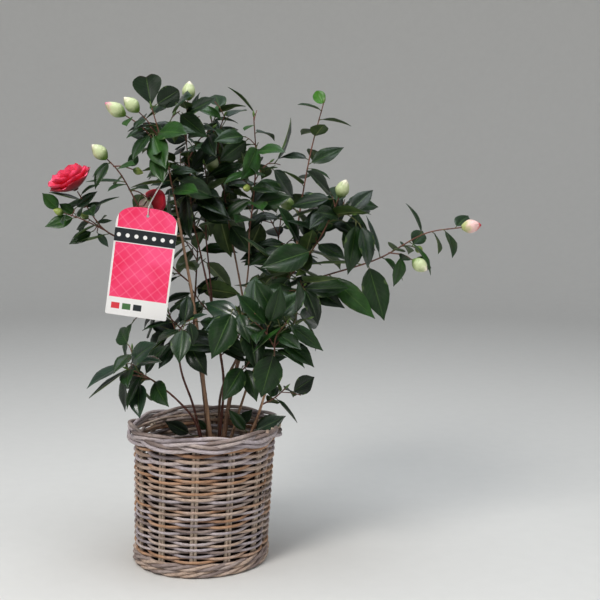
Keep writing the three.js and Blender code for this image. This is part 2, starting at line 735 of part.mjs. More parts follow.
for (const [name, mass] of Object.entries(MASSES)) {
  const [count = 0, length = 0, leaves = 0] = mass.twigs ?? [];
  const draw = chance(mass.seed);
  const [stem] = grown[name].shoots;
  for (let k = 0; k < count; k++) {
    const share = 0.1 + (0.75 * (k + 0.3 + 0.4 * draw())) / count;
    const spot = spotOn(stem.path, share);
    const cross = spot.side.clone().cross(spot.ahead);
    const round = rad(mass.seed * 40 + k * TURN);
    const outward = spot.side.clone().multiplyScalar(Math.cos(round));
    outward.addScaledVector(cross, Math.sin(round));
    const ahead = spot.ahead.clone().multiplyScalar(Math.cos(rad(TWIG_LEAN)));
    ahead.addScaledVector(outward, Math.sin(rad(TWIG_LEAN)));
    const tip = along(spot.at, ahead, length * (0.8 + 0.4 * draw()));
    const path = armPath(stem.path, share, tip);
    if (!free(limbSolid(path, TWIG.foot + WOOD_ROOM, TWIG.tip + WOOD_ROOM, TWIG.sides), name)) continue;
    const solid = limbSolid(path, TWIG.foot, TWIG.tip, TWIG.sides);
    stand(solid, name);
    grown[name].solids.push(solid);
    grown[name].shoots.push({ path, leaves: [leaves, 0.3, mass.leaves[2] * 0.86], radius: TWIG.tip });
  }
}

const stringPath = grown.crown_a.shoots[0].path;
const tied = spotOn(stringPath, 0.42);
const string = stringSolid(tied.at, SHOOT.foot);
addNode("tag_string", string, "string", STRING_RADIUS / 3);
stand(string, "tag_string");

// A leaf is kept where it stays within its mass's reach and touches nothing of another mass, nor
// crosses an earlier leaf of its own.
const blades = [];
function grow(name, mass, leaf) {
  const tip = along(leaf.base, leaf.ahead, leaf.length);
  const near = grown[name].shoots[0].path.at.some((p) => p.distanceTo(tip) < mass.reach);
  if (!near) return false;
  const test = leafSolid(leaf, LEAF_ROOM);
  const solid = leafSolid(leaf);
  if (!free(test, name) || !free(solid, name)) return false;
  const box = test.boundingBox();
  const rivals = blades.filter((blade) => blade.owner === name && meets(box, blade));
  if (rivals.some((blade) => !test.intersect(blade.solid).isEmpty())) return false;
  blades.push({ solid: test, min: box.min, max: box.max, owner: name });
  stand(solid, name);
  grown[name].solids.push(solid);
  return true;
}

for (const [name, mass] of Object.entries(MASSES)) {
  const [stem] = grown[name].shoots;
  for (const row of mass.marked ?? []) grow(name, mass, markedLeaf(stem.path, row));
}

for (const [name, mass] of Object.entries(MASSES)) {
  const draw = chance(mass.seed + 1);
  for (const { path, leaves, radius } of grown[name].shoots) {
    const [count, from, size] = leaves;
    const phase = draw() * 360;
    for (let k = 0; k < count; k++) {
      const share = from + ((0.98 - from) * (k + 0.5 + 0.4 * (draw() - 0.5))) / count;
      const turned = leafOn(path, share, phase + k * TURN, size, draw, radius);
      TRIES.some((extra) => grow(name, mass, turned(extra)));
    }
  }
  addNode(name, fuse(grown[name].solids), "foliage");
}

export default camellia;
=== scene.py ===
import bisect
import itertools
import math

import bpy
import numpy as np
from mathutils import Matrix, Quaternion, Vector, noise
from mathutils.bvhtree import BVHTree


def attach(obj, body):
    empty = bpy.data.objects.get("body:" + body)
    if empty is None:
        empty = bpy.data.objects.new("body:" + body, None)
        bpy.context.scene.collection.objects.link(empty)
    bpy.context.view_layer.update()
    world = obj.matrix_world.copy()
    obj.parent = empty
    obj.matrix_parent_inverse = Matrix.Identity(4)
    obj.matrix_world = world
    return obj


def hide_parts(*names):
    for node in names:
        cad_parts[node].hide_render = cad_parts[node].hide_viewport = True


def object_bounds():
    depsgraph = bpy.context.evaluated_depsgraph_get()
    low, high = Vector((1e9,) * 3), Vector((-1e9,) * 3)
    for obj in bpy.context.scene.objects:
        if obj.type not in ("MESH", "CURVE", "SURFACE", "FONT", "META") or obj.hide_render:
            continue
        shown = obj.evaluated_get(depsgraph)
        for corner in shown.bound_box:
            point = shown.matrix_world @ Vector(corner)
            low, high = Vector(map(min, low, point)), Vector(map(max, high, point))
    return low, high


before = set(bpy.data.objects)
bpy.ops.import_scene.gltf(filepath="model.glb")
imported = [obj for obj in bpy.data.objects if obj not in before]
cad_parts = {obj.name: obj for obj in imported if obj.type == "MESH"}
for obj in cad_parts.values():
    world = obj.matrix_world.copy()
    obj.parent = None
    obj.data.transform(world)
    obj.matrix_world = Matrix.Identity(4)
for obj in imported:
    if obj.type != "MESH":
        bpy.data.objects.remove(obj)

cad_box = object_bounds()
MM = 0.001

# Stems rise from the compost: the few points that each passes through, and its radius at foot
# and tip.
STEMS = {
    "stem_a": [[[24, -13, 180], [13, -16, 274], [-3, -22, 425], [-28, -30, 585]], 3.5, 2.1],
    "stem_b": [[[30, 13, 180], [41, 16, 300], [34, 22, 358], [18, 30, 450]], 2.7, 1.9],
    "stem_l": [[[31, 27, 180], [36, 30, 283], [66, 40, 350], [74, 46, 440]], 2.5, 1.9],
    "stem_m": [[[37, -1, 180], [58, -3, 303], [86, -6, 393], [154, -14, 488]], 4.3, 2.5],
    "stem_n": [[[72, -16, 180], [104, -36, 262], [122, -70, 330], [130, -90, 368]], 2.6, 1.8],
    "stem_k": [[[10, -2, 180], [-10, -12, 270], [-25, -28, 322], [-31, -40, 365]], 2.4, 1.6],
    "stem_i": [[[9, -24, 180], [-4, -34, 244], [-30, -54, 284], [-61, -76, 318]], 2.2, 1.5],
    "stem_p": [[[14, 20, 180], [2, 44, 290], [-14, 70, 390], [-12, 96, 470]], 2.6, 1.6],
    "stem_q": [[[46, 14, 180], [74, 50, 270], [104, 84, 350], [122, 100, 430]], 2.6, 1.6],
}

# Boughs: the stem that carries each, where on its length, the points beyond, and the two radii.
# One that starts at share 1 goes on from the stem's tip.
BOUGHS = {
    "bough_b": ["stem_b", 1, [[9, 24, 493], [-2, 26, 545]], 1.8, 1.4],
    "bough_c": ["stem_b", 0.95, [[16, 42, 492], [11, 45, 545]], 1.5, 1.3],
    "bough_d": ["stem_l", 1, [[62, 57, 502], [51, 60, 560]], 1.8, 1.4],
    "bough_e": ["stem_l", 0.95, [[84, 34, 500], [86, 26, 560]], 1.5, 1.3],
    "bough_f": ["stem_m", 1, [[166, -4, 530], [168, 0, 570]], 2.1, 1.6],
    "bough_h": ["stem_m", 0.76, [[152, -20, 456], [208, -20, 487]], 2.1, 1.8],
    "bough_bloom": ["stem_a", 0.93, [[-75, -40, 549], [-124, -50, 553]], 1.7, 1.4],
    "bough_bud": ["stem_a", 0.985, [[-60, -34, 596], [-92, -42, 606]], 1.6, 1.3],
}

# Masses of foliage. on: the limb that carries the mass, and where on its length; share 1 is its
# tip. path: the few points that the mass's own stem passes through from there.
# leaves: how many leave the stem, from what share of its length, and their length.
# twigs: side twigs by rule, as count, length and leaves on each. arms: side twigs that reach a
# known tip, as share of the stem, tip, leaves and what the tip bears. marked: the leaves that
# stand out most, as share of the stem, heading and rise in degrees, length, width as a share of
# it, roll and droop in degrees. tip: what the stem bears. reach: how far out its leaves may stand.
MASSES = {
    "crown_a": dict(
        on=["stem_a", 1], path=[[-43, -36, 668], [-54, -42, 716], [-67, -46, 764]], leaves=[9, 0.1, 62],
        twigs=[2, 46, 2], reach=90, seed=11,
        arms=[[0.58, [-112, -72, 754], 3, "bud"], [0.68, [-88, -58, 758], 1, "bud"],
            [0.62, [-36, -16, 752], 2]],
        marked=[[1, 190, 80, 47, 0.95, 0, 6], [0.93, 20, 50, 42, 0.85, -20, 10],
            [0.68, 172, 28, 56, 0.4, 0, 40]],
    ),
    "spray_bloom": dict(
        on=["bough_bloom", 1], path=[[-148, -58, 570], [-172, -68, 607], [-184, -76, 630]],
        leaves=[5, 0.3, 46], tip="bloom", reach=85, seed=23,
        arms=[[0.22, [-208, -78, 596], 3, "smallbud"], [0.12, [-176, -40, 586], 2, "smallbud"]],
        marked=[[0.15, 200, -8, 54, 0.5, 30, 12], [0.83, 205, 24, 50, 0.55, 20, 20],
            [0.65, 10, 38, 48, 0.42, -20, 30]],
    ),
    "spray_bud": dict(
        on=["bough_bud", 1], path=[[-114, -50, 650], [-126, -56, 668], [-140, -61, 683]],
        leaves=[5, 0.15, 52], tip="bud", reach=85, seed=31,
        arms=[[0.31, [-76, -24, 616], 1, "halfbloom"], [0.8, [-96, -54, 664], 1, "smallbud"]],
        marked=[[0.46, 185, 12, 58, 0.36, 20, 24], [0.9, 235, -30, 48, 0.42, 0, 50]],
    ),
    "crown_b": dict(
        on=["bough_b", 1], path=[[-13, 30, 590], [-13, 34, 640], [-24, 40, 738]], leaves=[9, 0.05, 66],
        twigs=[3, 60, 3], reach=92, seed=47,
        arms=[[0.84, [-17, 42, 782], 1, "bud"]],
        marked=[[0.56, 100, -62, 74, 0.74, 0, 24], [0.59, -20, 52, 60, 0.4, 40, 10],
            [0.98, 15, 10, 46, 0.5, 0, 30]],
    ),
    "crown_c": dict(
        on=["bough_c", 1], path=[[10, 50, 590], [12, 55, 630], [18, 60, 662]], leaves=[7, 0.05, 60],
        twigs=[2, 60, 3], tip="bud", reach=90, seed=53,
        marked=[[0.9, 0, 24, 56, 0.55, 30, 10]],
    ),
    "crown_d": dict(
        on=["bough_d", 1], path=[[43, 67, 610], [35, 75, 665], [18, 90, 750]], leaves=[10, 0.05, 64],
        twigs=[2, 60, 3], reach=95, seed=61,
        marked=[[0.06, -40, -46, 62, 0.52, 30, 20], [0.98, 15, 24, 46, 0.34, 0, 60]],
    ),
    "crown_e": dict(
        on=["bough_e", 1], path=[[93, 20, 613], [98, 15, 683], [95, 10, 752]], leaves=[11, 0.05, 62],
        twigs=[1, 50, 2], reach=90, seed=71,
        arms=[[0.36, [86, 0, 634], 1, "smallbud"]],
        marked=[[0.235, -30, 14, 66, 0.5, 40, 16], [0.29, 195, -22, 56, 0.42, -20, 40]],
    ),
    "crown_f": dict(
        on=["bough_f", 1], path=[[176, 8, 620], [192, 22, 702], [212, 38, 776]], leaves=[12, 0.02, 56],
        reach=92, seed=83,
        arms=[[0.08, [158, 18, 602], 0, "bud"]],
        marked=[[0.98, 150, 62, 25, 0.85, 0, 10], [0.49, 5, 30, 62, 0.44, 30, 20]],
    ),
    "crown_g": dict(
        on=["stem_m", 0.97], path=[[196, -32, 538], [224, -46, 592], [236, -58, 622]], leaves=[8, 0.1, 76],
        twigs=[2, 50, 2], tip="bud", reach=112, seed=97,
        marked=[[0.07, 205, 48, 100, 0.44, 30, 20], [0.08, -30, -24, 96, 0.4, 30, 24],
            [0.13, 195, -4, 88, 0.36, 40, 20], [0.41, 60, 78, 68, 0.56, 0, 10]],
    ),
    "crown_h": dict(
        on=["bough_h", 1], path=[[302, -26, 518], [380, -28, 560], [440, -30, 570]], leaves=[8, 0.38, 66],
        tip="bud", reach=112, seed=103,
        arms=[[0.48, [358, -52, 516], 3, "bud"], [0.57, [366, -12, 534], 1, "smallbud"]],
        marked=[[0.05, -30, -38, 96, 0.36, 30, 16], [0.32, -50, -66, 90, 0.48, 0, 14],
            [0.28, 195, 14, 84, 0.32, 40, 26], [0.23, 80, 80, 88, 0.5, 0, 12],
            [0.41, 120, 68, 70, 0.24, 60, 14]],
    ),
    "crown_n": dict(
        on=["stem_n", 1], path=[[134, -104, 400], [152, -112, 424]], leaves=[6, 0.1, 66], twigs=[2, 56, 3],
        reach=105, seed=113,
        marked=[[0.1, 230, -66, 70, 0.66, 0, 20], [0.9, 200, -26, 62, 0.42, 30, 24],
            [0.98, -20, -30, 66, 0.36, 20, 30]],
    ),
    "crown_k": dict(
        on=["stem_k", 1], path=[[-33, -50, 400], [-44, -54, 434]], leaves=[6, 0.02, 64], twigs=[2, 57, 3],
        reach=105, seed=127,
        marked=[[0.5, 205, -30, 84, 0.26, 40, 10], [0.3, 195, -50, 52, 0.62, 0, 20]],
    ),
    "crown_i": dict(
        on=["stem_i", 1], path=[[-84, -98, 338], [-104, -108, 348]], leaves=[6, 0.02, 60], twigs=[2, 50, 2],
        reach=95, seed=131,
        marked=[[0.98, 200, -24, 70, 0.5, 30, 20]],
    ),
    "crown_p": dict(
        on=["stem_p", 1], path=[[-10, 108, 530], [-18, 112, 590], [-30, 106, 640]], leaves=[9, 0.02, 64],
        twigs=[3, 70, 3], reach=105, seed=149,
    ),
    "crown_q": dict(
        on=["stem_q", 1], path=[[132, 102, 490], [134, 96, 540], [140, 88, 590]], leaves=[9, 0.02, 66],
        twigs=[3, 70, 3], reach=105, seed=151,
    ),
}

# Short leafy spurs on the lower stems. Each row: carrying limb, share of its length, heading and
# rise in degrees, length, leaves, leaf length, seed.
SPURS = {
    "spur_a1": ["stem_a", 0.5, 190, 30, 56, 4, 68, 163],
    "spur_a2": ["stem_a", 0.74, 160, 35, 60, 4, 62, 167],
    "spur_b1": ["stem_b", 0.62, 20, 40, 60, 4, 64, 173],
    "spur_b2": ["stem_b", 0.88, 150, 35, 60, 4, 62, 179],
    "spur_l1": ["stem_l", 0.85, 20, 25, 66, 4, 72, 181],
    "spur_m1": ["stem_m", 0.42, -50, 30, 60, 4, 68, 191],
    "spur_m2": ["stem_m", 0.66, -110, 30, 66, 4, 74, 193],
    "spur_m3": ["stem_m", 0.82, 70, 20, 70, 4, 68, 197],
    "spur_h1": ["bough_h", 0.6, -70, 10, 40, 3, 84, 199],
    "spur_n1": ["stem_n", 0.5, 10, 25, 46, 4, 58, 211],
}


# How limbs and leaves grow, as in the CAD source
COMPOST_TOP = 180
ROOT_FLARE = 0.7
BOUGH_STEPS, STEM_STEPS, SHOOT_STEPS, ARM_STEPS = 6, 10, 7, 4
GAP = 0.3  # between a limb's bark and what springs from it
PETIOLE, PLAIN_LEAF = 8, 70  # lengths of a plain leaf's stalk and blade
LEAF_WIDTH = 0.5
FOLD = 0.22  # how far the midrib lies below the margins, as a share of half the width
LEAF_LEAN, TWIG_LEAN, FINE_LEAN = 60, 44, 52
TURN = 137.5
TRIES = (0, 34, -34, 68, -68, 104)
SHOOT, TWIG, FINE_TWIG = (1.5, 1.0), (1.2, 0.9), (0.95, 0.7)  # radii at foot and tip
UP, RIGHT, BACK = Vector((0, 0, 1)), Vector((1, 0, 0)), Vector((0, 1, 0))
LIGHT = Vector((-0.15, -0.5, 0.85))  # where the leaves turn their upper faces
LEAN = 10  # how far the basket's rim stands to +X of its base
TAG = dict(width=100, height=179, arch=30, thick=1.2, tilt=8, hole=2.6, drop=13)
TAG_CENTRE = Vector((-84, -64, 514))
TAG_UP = Vector((math.sin(math.radians(TAG["tilt"])), 0, math.cos(math.radians(TAG["tilt"]))))
TAG_RIGHT = Vector((TAG_UP.z, 0, -TAG_UP.x))
STRING = 0.8
SEEN = 1.3  # how close to its CAD solid a twig or leaf of the rule has to be


def chance(seed):
    """A repeatable run of numbers between 0 and 1."""
    state = seed * 7919 + 17

    def draw():
        nonlocal state
        state = state * 16807 % 2147483647
        return state / 2147483647

    return draw


def swung(v, other, angle):
    """v turned towards other, which is square to it, by an angle in radians."""
    return v * math.cos(angle) + other * math.sin(angle)


def headed(heading, rise):
    level = math.cos(math.radians(rise))
    turn = math.radians(heading)
    return Vector((math.cos(turn) * level, math.sin(turn) * level, math.sin(math.radians(rise))))


def square(v, axis):
    return v - axis * v.dot(axis)


def turned(v, axis, degrees):
    return Quaternion(axis, math.radians(degrees)) @ v


def on_curve(points, t):
    """A point of the centripetal Catmull-Rom curve through the points."""
    last = len(points) - 1
    low = min(int(t * last), last - 1)
    part = t * last - low
    p1, p2 = points[low], points[low + 1]
    p0 = points[low - 1] if low else p1 * 2 - p2
    p3 = points[low + 2] if low + 2 <= last else p2 * 2 - p1
    d0, d1, d2 = ((b - a).length_squared ** 0.25 for a, b in ((p0, p1), (p1, p2), (p2, p3)))
    t1 = ((p1 - p0) / d0 - (p2 - p0) / (d0 + d1) + (p2 - p1) / d1) * d1
    t2 = ((p2 - p1) / d1 - (p3 - p1) / (d1 + d2) + (p3 - p2) / d2) * d1
    cubic = (p1 - p2) * 2 + t1 + t2
    return p1 + t1 * part + ((p2 - p1) * 3 - t1 * 2 - t2) * part**2 + cubic * part**3


class Path:
    """Evenly spaced points along a curve, with the direction and a steady sideways vector at each."""

    def __init__(self, points, steps, start=None):
        self.points, self.steps, self.start = points, steps, start
        fine = [on_curve(points, i / 200) for i in range(201)]
        lengths = [0.0]
        for a, b in zip(fine, fine[1:]):
            lengths.append(lengths[-1] + (b - a).length)
        self.length = lengths[-1]
        self.at = at = []
        for i in range(steps + 1):
            wanted = self.length * i / steps
            low = min(max(bisect.bisect_right(lengths, wanted) - 1, 0), 199)
            part = (wanted - lengths[low]) / (lengths[low + 1] - lengths[low])
            at.append(on_curve(points, min((low + part) / 200, 1)))
        ahead = [(at[min(i + 1, steps)] - at[max(i - 1, 0)]).normalized() for i in range(steps + 1)]
        if start:
            ahead[0] = start
        self.ahead, self.side = ahead, []
        last = RIGHT if abs(ahead[0].x) < 0.8 else UP
        for t in ahead:
            last = square(last, t).normalized()
            self.side.append(last)

    def spot(self, share):
        """Where a share of the length is: the point, the direction and the sideways vector."""
        place = min(max(share, 0), 1) * self.steps
        low = min(int(place), self.steps - 1)
        part = place - low
        ahead = self.ahead[low].lerp(self.ahead[low + 1], part).normalized()
        side = square(self.side[low].lerp(self.side[low + 1], part), ahead).normalized()
        return self.at[low].lerp(self.at[low + 1], part), ahead, side

    def finer(self, steps):
        return Path(self.points, steps, self.start)


limbs = {}


def rooted(carrier, share, points, steps):
    """A shoot that springs from a limb: on from its tip, or square out of its side."""
    path, foot, tip = limbs[carrier]
    at, ahead, _ = path.spot(share)
    beyond = [Vector(p) for p in points]
    if share == 1:
        return Path([at + ahead * GAP, *beyond], steps, ahead)
    out = square(beyond[0] - at, ahead).normalized()
    thick = foot + (tip - foot) * share
    return Path([at + out * (thick + GAP), *beyond], steps, out)


def arm_path(stem, share, tip):
    at, ahead, _ = stem.spot(share)
    mid = at.lerp(tip, 0.5) + ahead * ((tip - at).length * 0.12)
    return Path([at, mid, tip], ARM_STEPS)


def blade_place(leaf, share):
    """The middle of a leaf's blade at a share of its length, and its upward direction there."""
    bend = math.radians(leaf["droop"]) * share
    stalk = PETIOLE * leaf["length"] / PLAIN_LEAF
    run = swung(leaf["ahead"], leaf["over"], -bend / 2)
    return leaf["base"] + run * (stalk + share * leaf["length"]), swung(leaf["over"], leaf["ahead"], bend)


def leaf_on(path, share, turn, size, draw, radius):
    """A rule leaf: a function from the extra turn that it was given to the leaf."""
    at, forward, side = path.spot(share)
    swing = (draw() - 0.5) * 24
    lean = math.radians(LEAF_LEAN + (draw() - 0.5) * 26)
    length = size * (0.8 + 0.34 * draw()) * (1 - 0.22 * share)
    droop = 26 + 46 * draw()
    roll = (draw() - 0.5) * 46
    width = LEAF_WIDTH * (0.92 + 0.16 * draw())

    def made(extra):
        outward = swung(side, side.cross(forward), math.radians(turn + swing + extra))
        ahead = (swung(forward, outward, lean) - UP * 0.2).normalized()
        over = (square(forward, ahead) * 0.7 + square(LIGHT, ahead)).normalized()
        base, over = at + outward * (radius * 0.2), turned(over, ahead, roll)
        return dict(base=base, ahead=ahead, over=over, length=length, width=width, droop=droop)

    return made


def marked_leaf(path, share, heading, rise, length, width, roll, droop):
    ahead = headed(heading, rise)
    over = turned(square(-BACK if abs(ahead.z) > 0.8 else LIGHT, ahead).normalized(), ahead, roll)
    base = path.spot(share)[0]
    return dict(base=base, ahead=ahead, over=over, length=length, width=width, droop=droop)


def cad_surface(name):
    """A test of whether points, in millimetres, lie on or just under a node's surface."""
    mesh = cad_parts[name].data
    tree = BVHTree.FromPolygons([v.co.copy() for v in mesh.vertices], [p.vertices[:] for p in mesh.polygons])
    return lambda points: all(tree.find_nearest(p * MM, SEEN * MM)[0] is not None for p in points)


def kept(leaf, holds):
    """Whether the CAD solid has this leaf, told by its midrib at the solid's own rings."""
    midrib = []
    for share, wide in ((0.28, 0.92), (0.68, 0.82), (1, 0)):
        middle, lift = blade_place(leaf, share)
        midrib.append(middle - lift * (FOLD * wide * leaf["width"] * leaf["length"] / 2))
    return holds(midrib)


for name, (points, foot, tip) in STEMS.items():
    limbs[name] = (Path([Vector(p) for p in points], STEM_STEPS), foot, tip)
for name, (carrier, share, points, foot, tip) in BOUGHS.items():
    limbs[name] = (rooted(carrier, share, points, BOUGH_STEPS), foot, tip)
for name, (carrier, share, heading, rise, length, count, size, seed) in SPURS.items():
    mid = limbs[carrier][0].spot(share)[0] + headed(heading, rise) * (length * 0.55)
    end = mid + headed(heading, rise + 16) * (length * 0.5)
    MASSES[name] = dict(on=[carrier, share], path=[mid, end], leaves=[count, 0.2, size], reach=100, seed=seed)

shoots = []  # each shoot's mass, path, radii and whether it is the mass's own stem
leaves = []  # each leaf with its mass and a mark for the ones in the table
borne = []  # what each tip bears: mass, kind, place, direction


def add_shoot(mass, path, radii, stem=False):
    shoots.append(dict(mass=mass, path=path, radii=radii, stem=stem))


def bear(leaf, mass, mark=None):
    leaves.append(dict(leaf, mass=mass, mark=mark))


for name, mass in MASSES.items():
    holds = cad_surface(name)
    stem = rooted(*mass["on"], mass["path"], SHOOT_STEPS)
    count, start, size = mass["leaves"]
    rows = [(stem, (count, start, size), SHOOT[1])]
    add_shoot(name, stem, SHOOT, stem=True)
    if "tip" in mass:
        borne.append((name, mass["tip"], stem.at[-1], stem.ahead[-1]))
    arms = []
    for share, tip, number, *bears in mass.get("arms", []):
        path = arm_path(stem, share, Vector(tip))
        arms.append((path, number))
        borne += [(name, kind, path.at[-1], path.ahead[-1]) for kind in bears]
    number, length, on_each = mass.get("twigs", [0, 0, 0])
    draw = chance(mass["seed"])
    for k in range(number):
        share = 0.1 + 0.75 * (k + 0.3 + 0.4 * draw()) / number
        at, forward, side = stem.spot(share)
        outward = swung(side, side.cross(forward), math.radians(mass["seed"] * 40 + k * TURN))
        ahead = swung(forward, outward, math.radians(TWIG_LEAN))
        path = arm_path(stem, share, at + ahead * (length * (0.8 + 0.4 * draw())))
        if holds(path.at[2:4]):
            arms.append((path, on_each))
    for path, number in arms:
        rows.append((path, (number, 0.3, size * 0.86), TWIG[1]))
        add_shoot(name, path, TWIG)
    for mark, row in enumerate(mass.get("marked", [])):
        leaf = marked_leaf(stem, *row)
        if kept(leaf, holds):
            bear(leaf, name, mark)
    draw = chance(mass["seed"] + 1)
    for path, (count, start, size), radius in rows:
        phase = draw() * 360
        for k in range(count):
            share = start + (0.98 - start) * (k + 0.5 + 0.4 * (draw() - 0.5)) / count
            made = leaf_on(path, share, phase + k * TURN, size, draw, radius)
            leaf = next((w for w in map(made, TRIES) if kept(w, holds)), None)
            if leaf:
                bear(leaf, name)


# Growth finer than the solids': side twigs and leaves within each mass's reach, where there is room
CELL = 12
FINE_SPACING = 25  # along a shoot, from one fine twig to the next
SPARSE = dict(crown_f=0, crown_h=0, spray_bloom=0, spray_bud=0, crown_a=0.25)  # shares of the others'
PLANT_AXIS = Vector((30, 10, 0))
RIM_TOP, RIM_CLEAR = 262, 92
LEAF_ROOM, TAG_ROOM, BOX_ROOM = 2.2, 7, 3
occupied = {}


def stand(points, clear):
    """Takes up the space round points, in cells that are quick to search."""
    for p in points:
        occupied.setdefault(tuple(int(c // CELL) for c in p), []).append((p, clear))


def is_free(points, clear):
    for p in points:
        spans = [(int(c // CELL) - 1, int(c // CELL) + 2) for c in p]
        for cell in itertools.product(*(range(*span) for span in spans)):
            if any((p - other).length < clear + room for other, room in occupied.get(cell, ())):
                return False
    return True


def blade_points(leaf):
    points = []
    for share in (0.1, 0.28, 0.46, 0.64, 0.82, 1):
        half = leaf["width"] * leaf["length"] / 2 * math.sin(math.pi * (0.12 + 0.84 * share))
        across = leaf["ahead"].cross(leaf["over"])
        points += [blade_place(leaf, share)[0] + across * (half * x) for x in (-1, -0.5, 0, 0.5, 1)]
    return points


def in_bounds(points):
    """Inside the plant's box, clear of the basket's rim and not in front of the tag."""
    for p in points:
        if any(not low / MM + BOX_ROOM < c < high / MM - BOX_ROOM for c, low, high in zip(p, *cad_box)):
            return False
        if p.z < RIM_TOP and math.hypot(p.x - LEAN, p.y) > RIM_CLEAR:
            return False
        off = p - TAG_CENTRE
        beside = abs(off.dot(TAG_RIGHT)) - TAG["width"] / 2
        above = abs(off.dot(TAG_UP)) - TAG["height"] / 2
        if max(beside, above, off.y) < TAG_ROOM:
            return False
    return True


runs = [(path, foot + 0.6) for path, foot, _ in limbs.values()] + [(shoot["path"], 1.6) for shoot in shoots]
for path, clear in runs:
    stand(path.finer(max(int(path.length / 4), 2)).at, clear)
for _, kind, place, ahead in borne:
    stand([place + ahead * s for s in (2, 12, 24)], 10 if kind == "bloom" else 6)
for leaf in leaves:
    stand(blade_points(leaf), LEAF_ROOM)


def fine_leaf(at, ahead, size, draw):
    """A leaf that turns its upper face up and away from the middle of the plant."""
    away = at - PLANT_AXIS
    away.z = 0
    facing = away.normalized() * 0.75 + LIGHT * 0.8 + Vector([draw() - 0.5 for _ in range(3)]) * 0.7
    over = square(facing, ahead).normalized()
    length = size * (0.82 + 0.36 * draw())
    width = LEAF_WIDTH * (0.96 + 0.2 * draw())
    return dict(base=at, ahead=ahead, over=over, length=length, width=width, droop=18 + 40 * draw())


def grow_finely(name, mass, path, draw):
    """One run of fine twigs along a shoot, each with the leaves that find room."""
    number = round(path.length / FINE_SPACING * SPARSE.get(name, 1))
    for k in range(number):
        at, forward, side = path.spot(0.06 + 0.92 * (k + draw()) / number)
        for attempt in range(6):
            around = math.radians(mass["seed"] * 31 + k * TURN + attempt * 63)
            outward = swung(side, side.cross(forward), around)
            ahead = swung(forward, outward, math.radians(FINE_LEAN)).normalized()
            tip = at + ahead * (14 + 20 * draw())
            twig = Path([at, at.lerp(tip, 0.5) + forward * 2, tip], 4)
            if not (is_free(twig.at[2:], 1.0) and in_bounds(twig.at)):
                continue
            grown = False
            for share, splay in ((1, 12), (0.72, 58), (0.5, -58)):
                base, onward, beside = twig.spot(share)
                turn = math.radians(splay + 16 * (draw() - 0.5))
                level = turned(square(beside, onward).normalized(), onward, 360 * draw())
                heading = (swung(onward, level, turn) - UP * 0.25).normalized()
                leaf = fine_leaf(base, heading, mass["leaves"][2] * 1.02, draw)
                points = blade_points(leaf)
                near = min((p - points[-1]).length for p in stems[name].at) < mass["reach"] * 0.92
                if near and is_free(points[5:], LEAF_ROOM) and in_bounds(points):
                    stand(points, LEAF_ROOM)
                    grown = True
                    bear(leaf, name)
            if grown:
                stand(twig.at[1:], 1.2)
                add_shoot(name, twig, FINE_TWIG)
                break


# Single leaves that stand out: mass, foot, tip, and width as a share of the length. A short twig
# joins each to the nearest limb or shoot.
SINGLE_LEAVES = [
    ("crown_n", (92, -24, 224), (145, -43, 257), 0.52),
    ("crown_n", (82, -24, 224), (54, -34, 264), 0.42),
    ("crown_k", (-14, -3, 214), (-56, -12, 240), 0.5),
    ("crown_p", (12, 14, 218), (-8, 2, 240), 0.5),
    ("crown_q", (62, 46, 216), (88, 62, 246), 0.5),
    ("crown_a", (-60, -54, 767), (-22, -58, 790), 0.85),
    ("spray_bloom", (-213, -76, 600), (-238, -84, 628), 0.62),
    ("spray_bloom", (-189, -70, 588), (-236, -86, 577), 0.52),
    ("spray_bloom", (-190, -64, 593), (-215, -68, 611), 0.6),
    ("spray_bloom", (-189, -74, 602), (-154, -78, 632), 0.44),
    ("spray_bloom", (-178, -62, 604), (-148, -60, 614), 0.3),
    ("spray_bloom", (-158, -62, 580), (-132, -58, 584), 0.34),
    ("spray_bloom", (-162, -64, 566), (-200, -78, 548), 0.5),
    ("spray_bloom", (-157, -60, 564), (-138, -64, 540), 0.42),
]
stems = {shoot["mass"]: shoot["path"] for shoot in shoots if shoot["stem"]}
solid_shoots = list(shoots)
carriers = [path for path, _, _ in limbs.values()] + [shoot["path"] for shoot in solid_shoots]
for mass, low, end, width in SINGLE_LEAVES:
    low, end = Vector(low), Vector(end)
    ahead = (end - low).normalized()
    over = square(LIGHT - BACK, ahead).normalized()
    length = (end - low).length * PLAIN_LEAF / (PLAIN_LEAF + PETIOLE)
    leaf = dict(base=low, ahead=ahead, over=over, length=length, width=width, droop=14)
    bear(leaf, mass)
    stand(blade_points(leaf), LEAF_ROOM)
    spots = (path.spot(share)[0] for path in carriers for share in np.linspace(0, 1, 41))
    spot = min(spots, key=lambda p: (p - low - (p - low).project(ahead) * 0.2).length)
    add_shoot(mass, Path([spot, spot.lerp(low, 0.6) - UP, low], 3), FINE_TWIG)
for shoot in solid_shoots:
    mass = MASSES[shoot["mass"]]
    draw = chance(mass["seed"] + 7 + round(shoot["path"].length))
    grow_finely(shoot["mass"], mass, shoot["path"], draw)


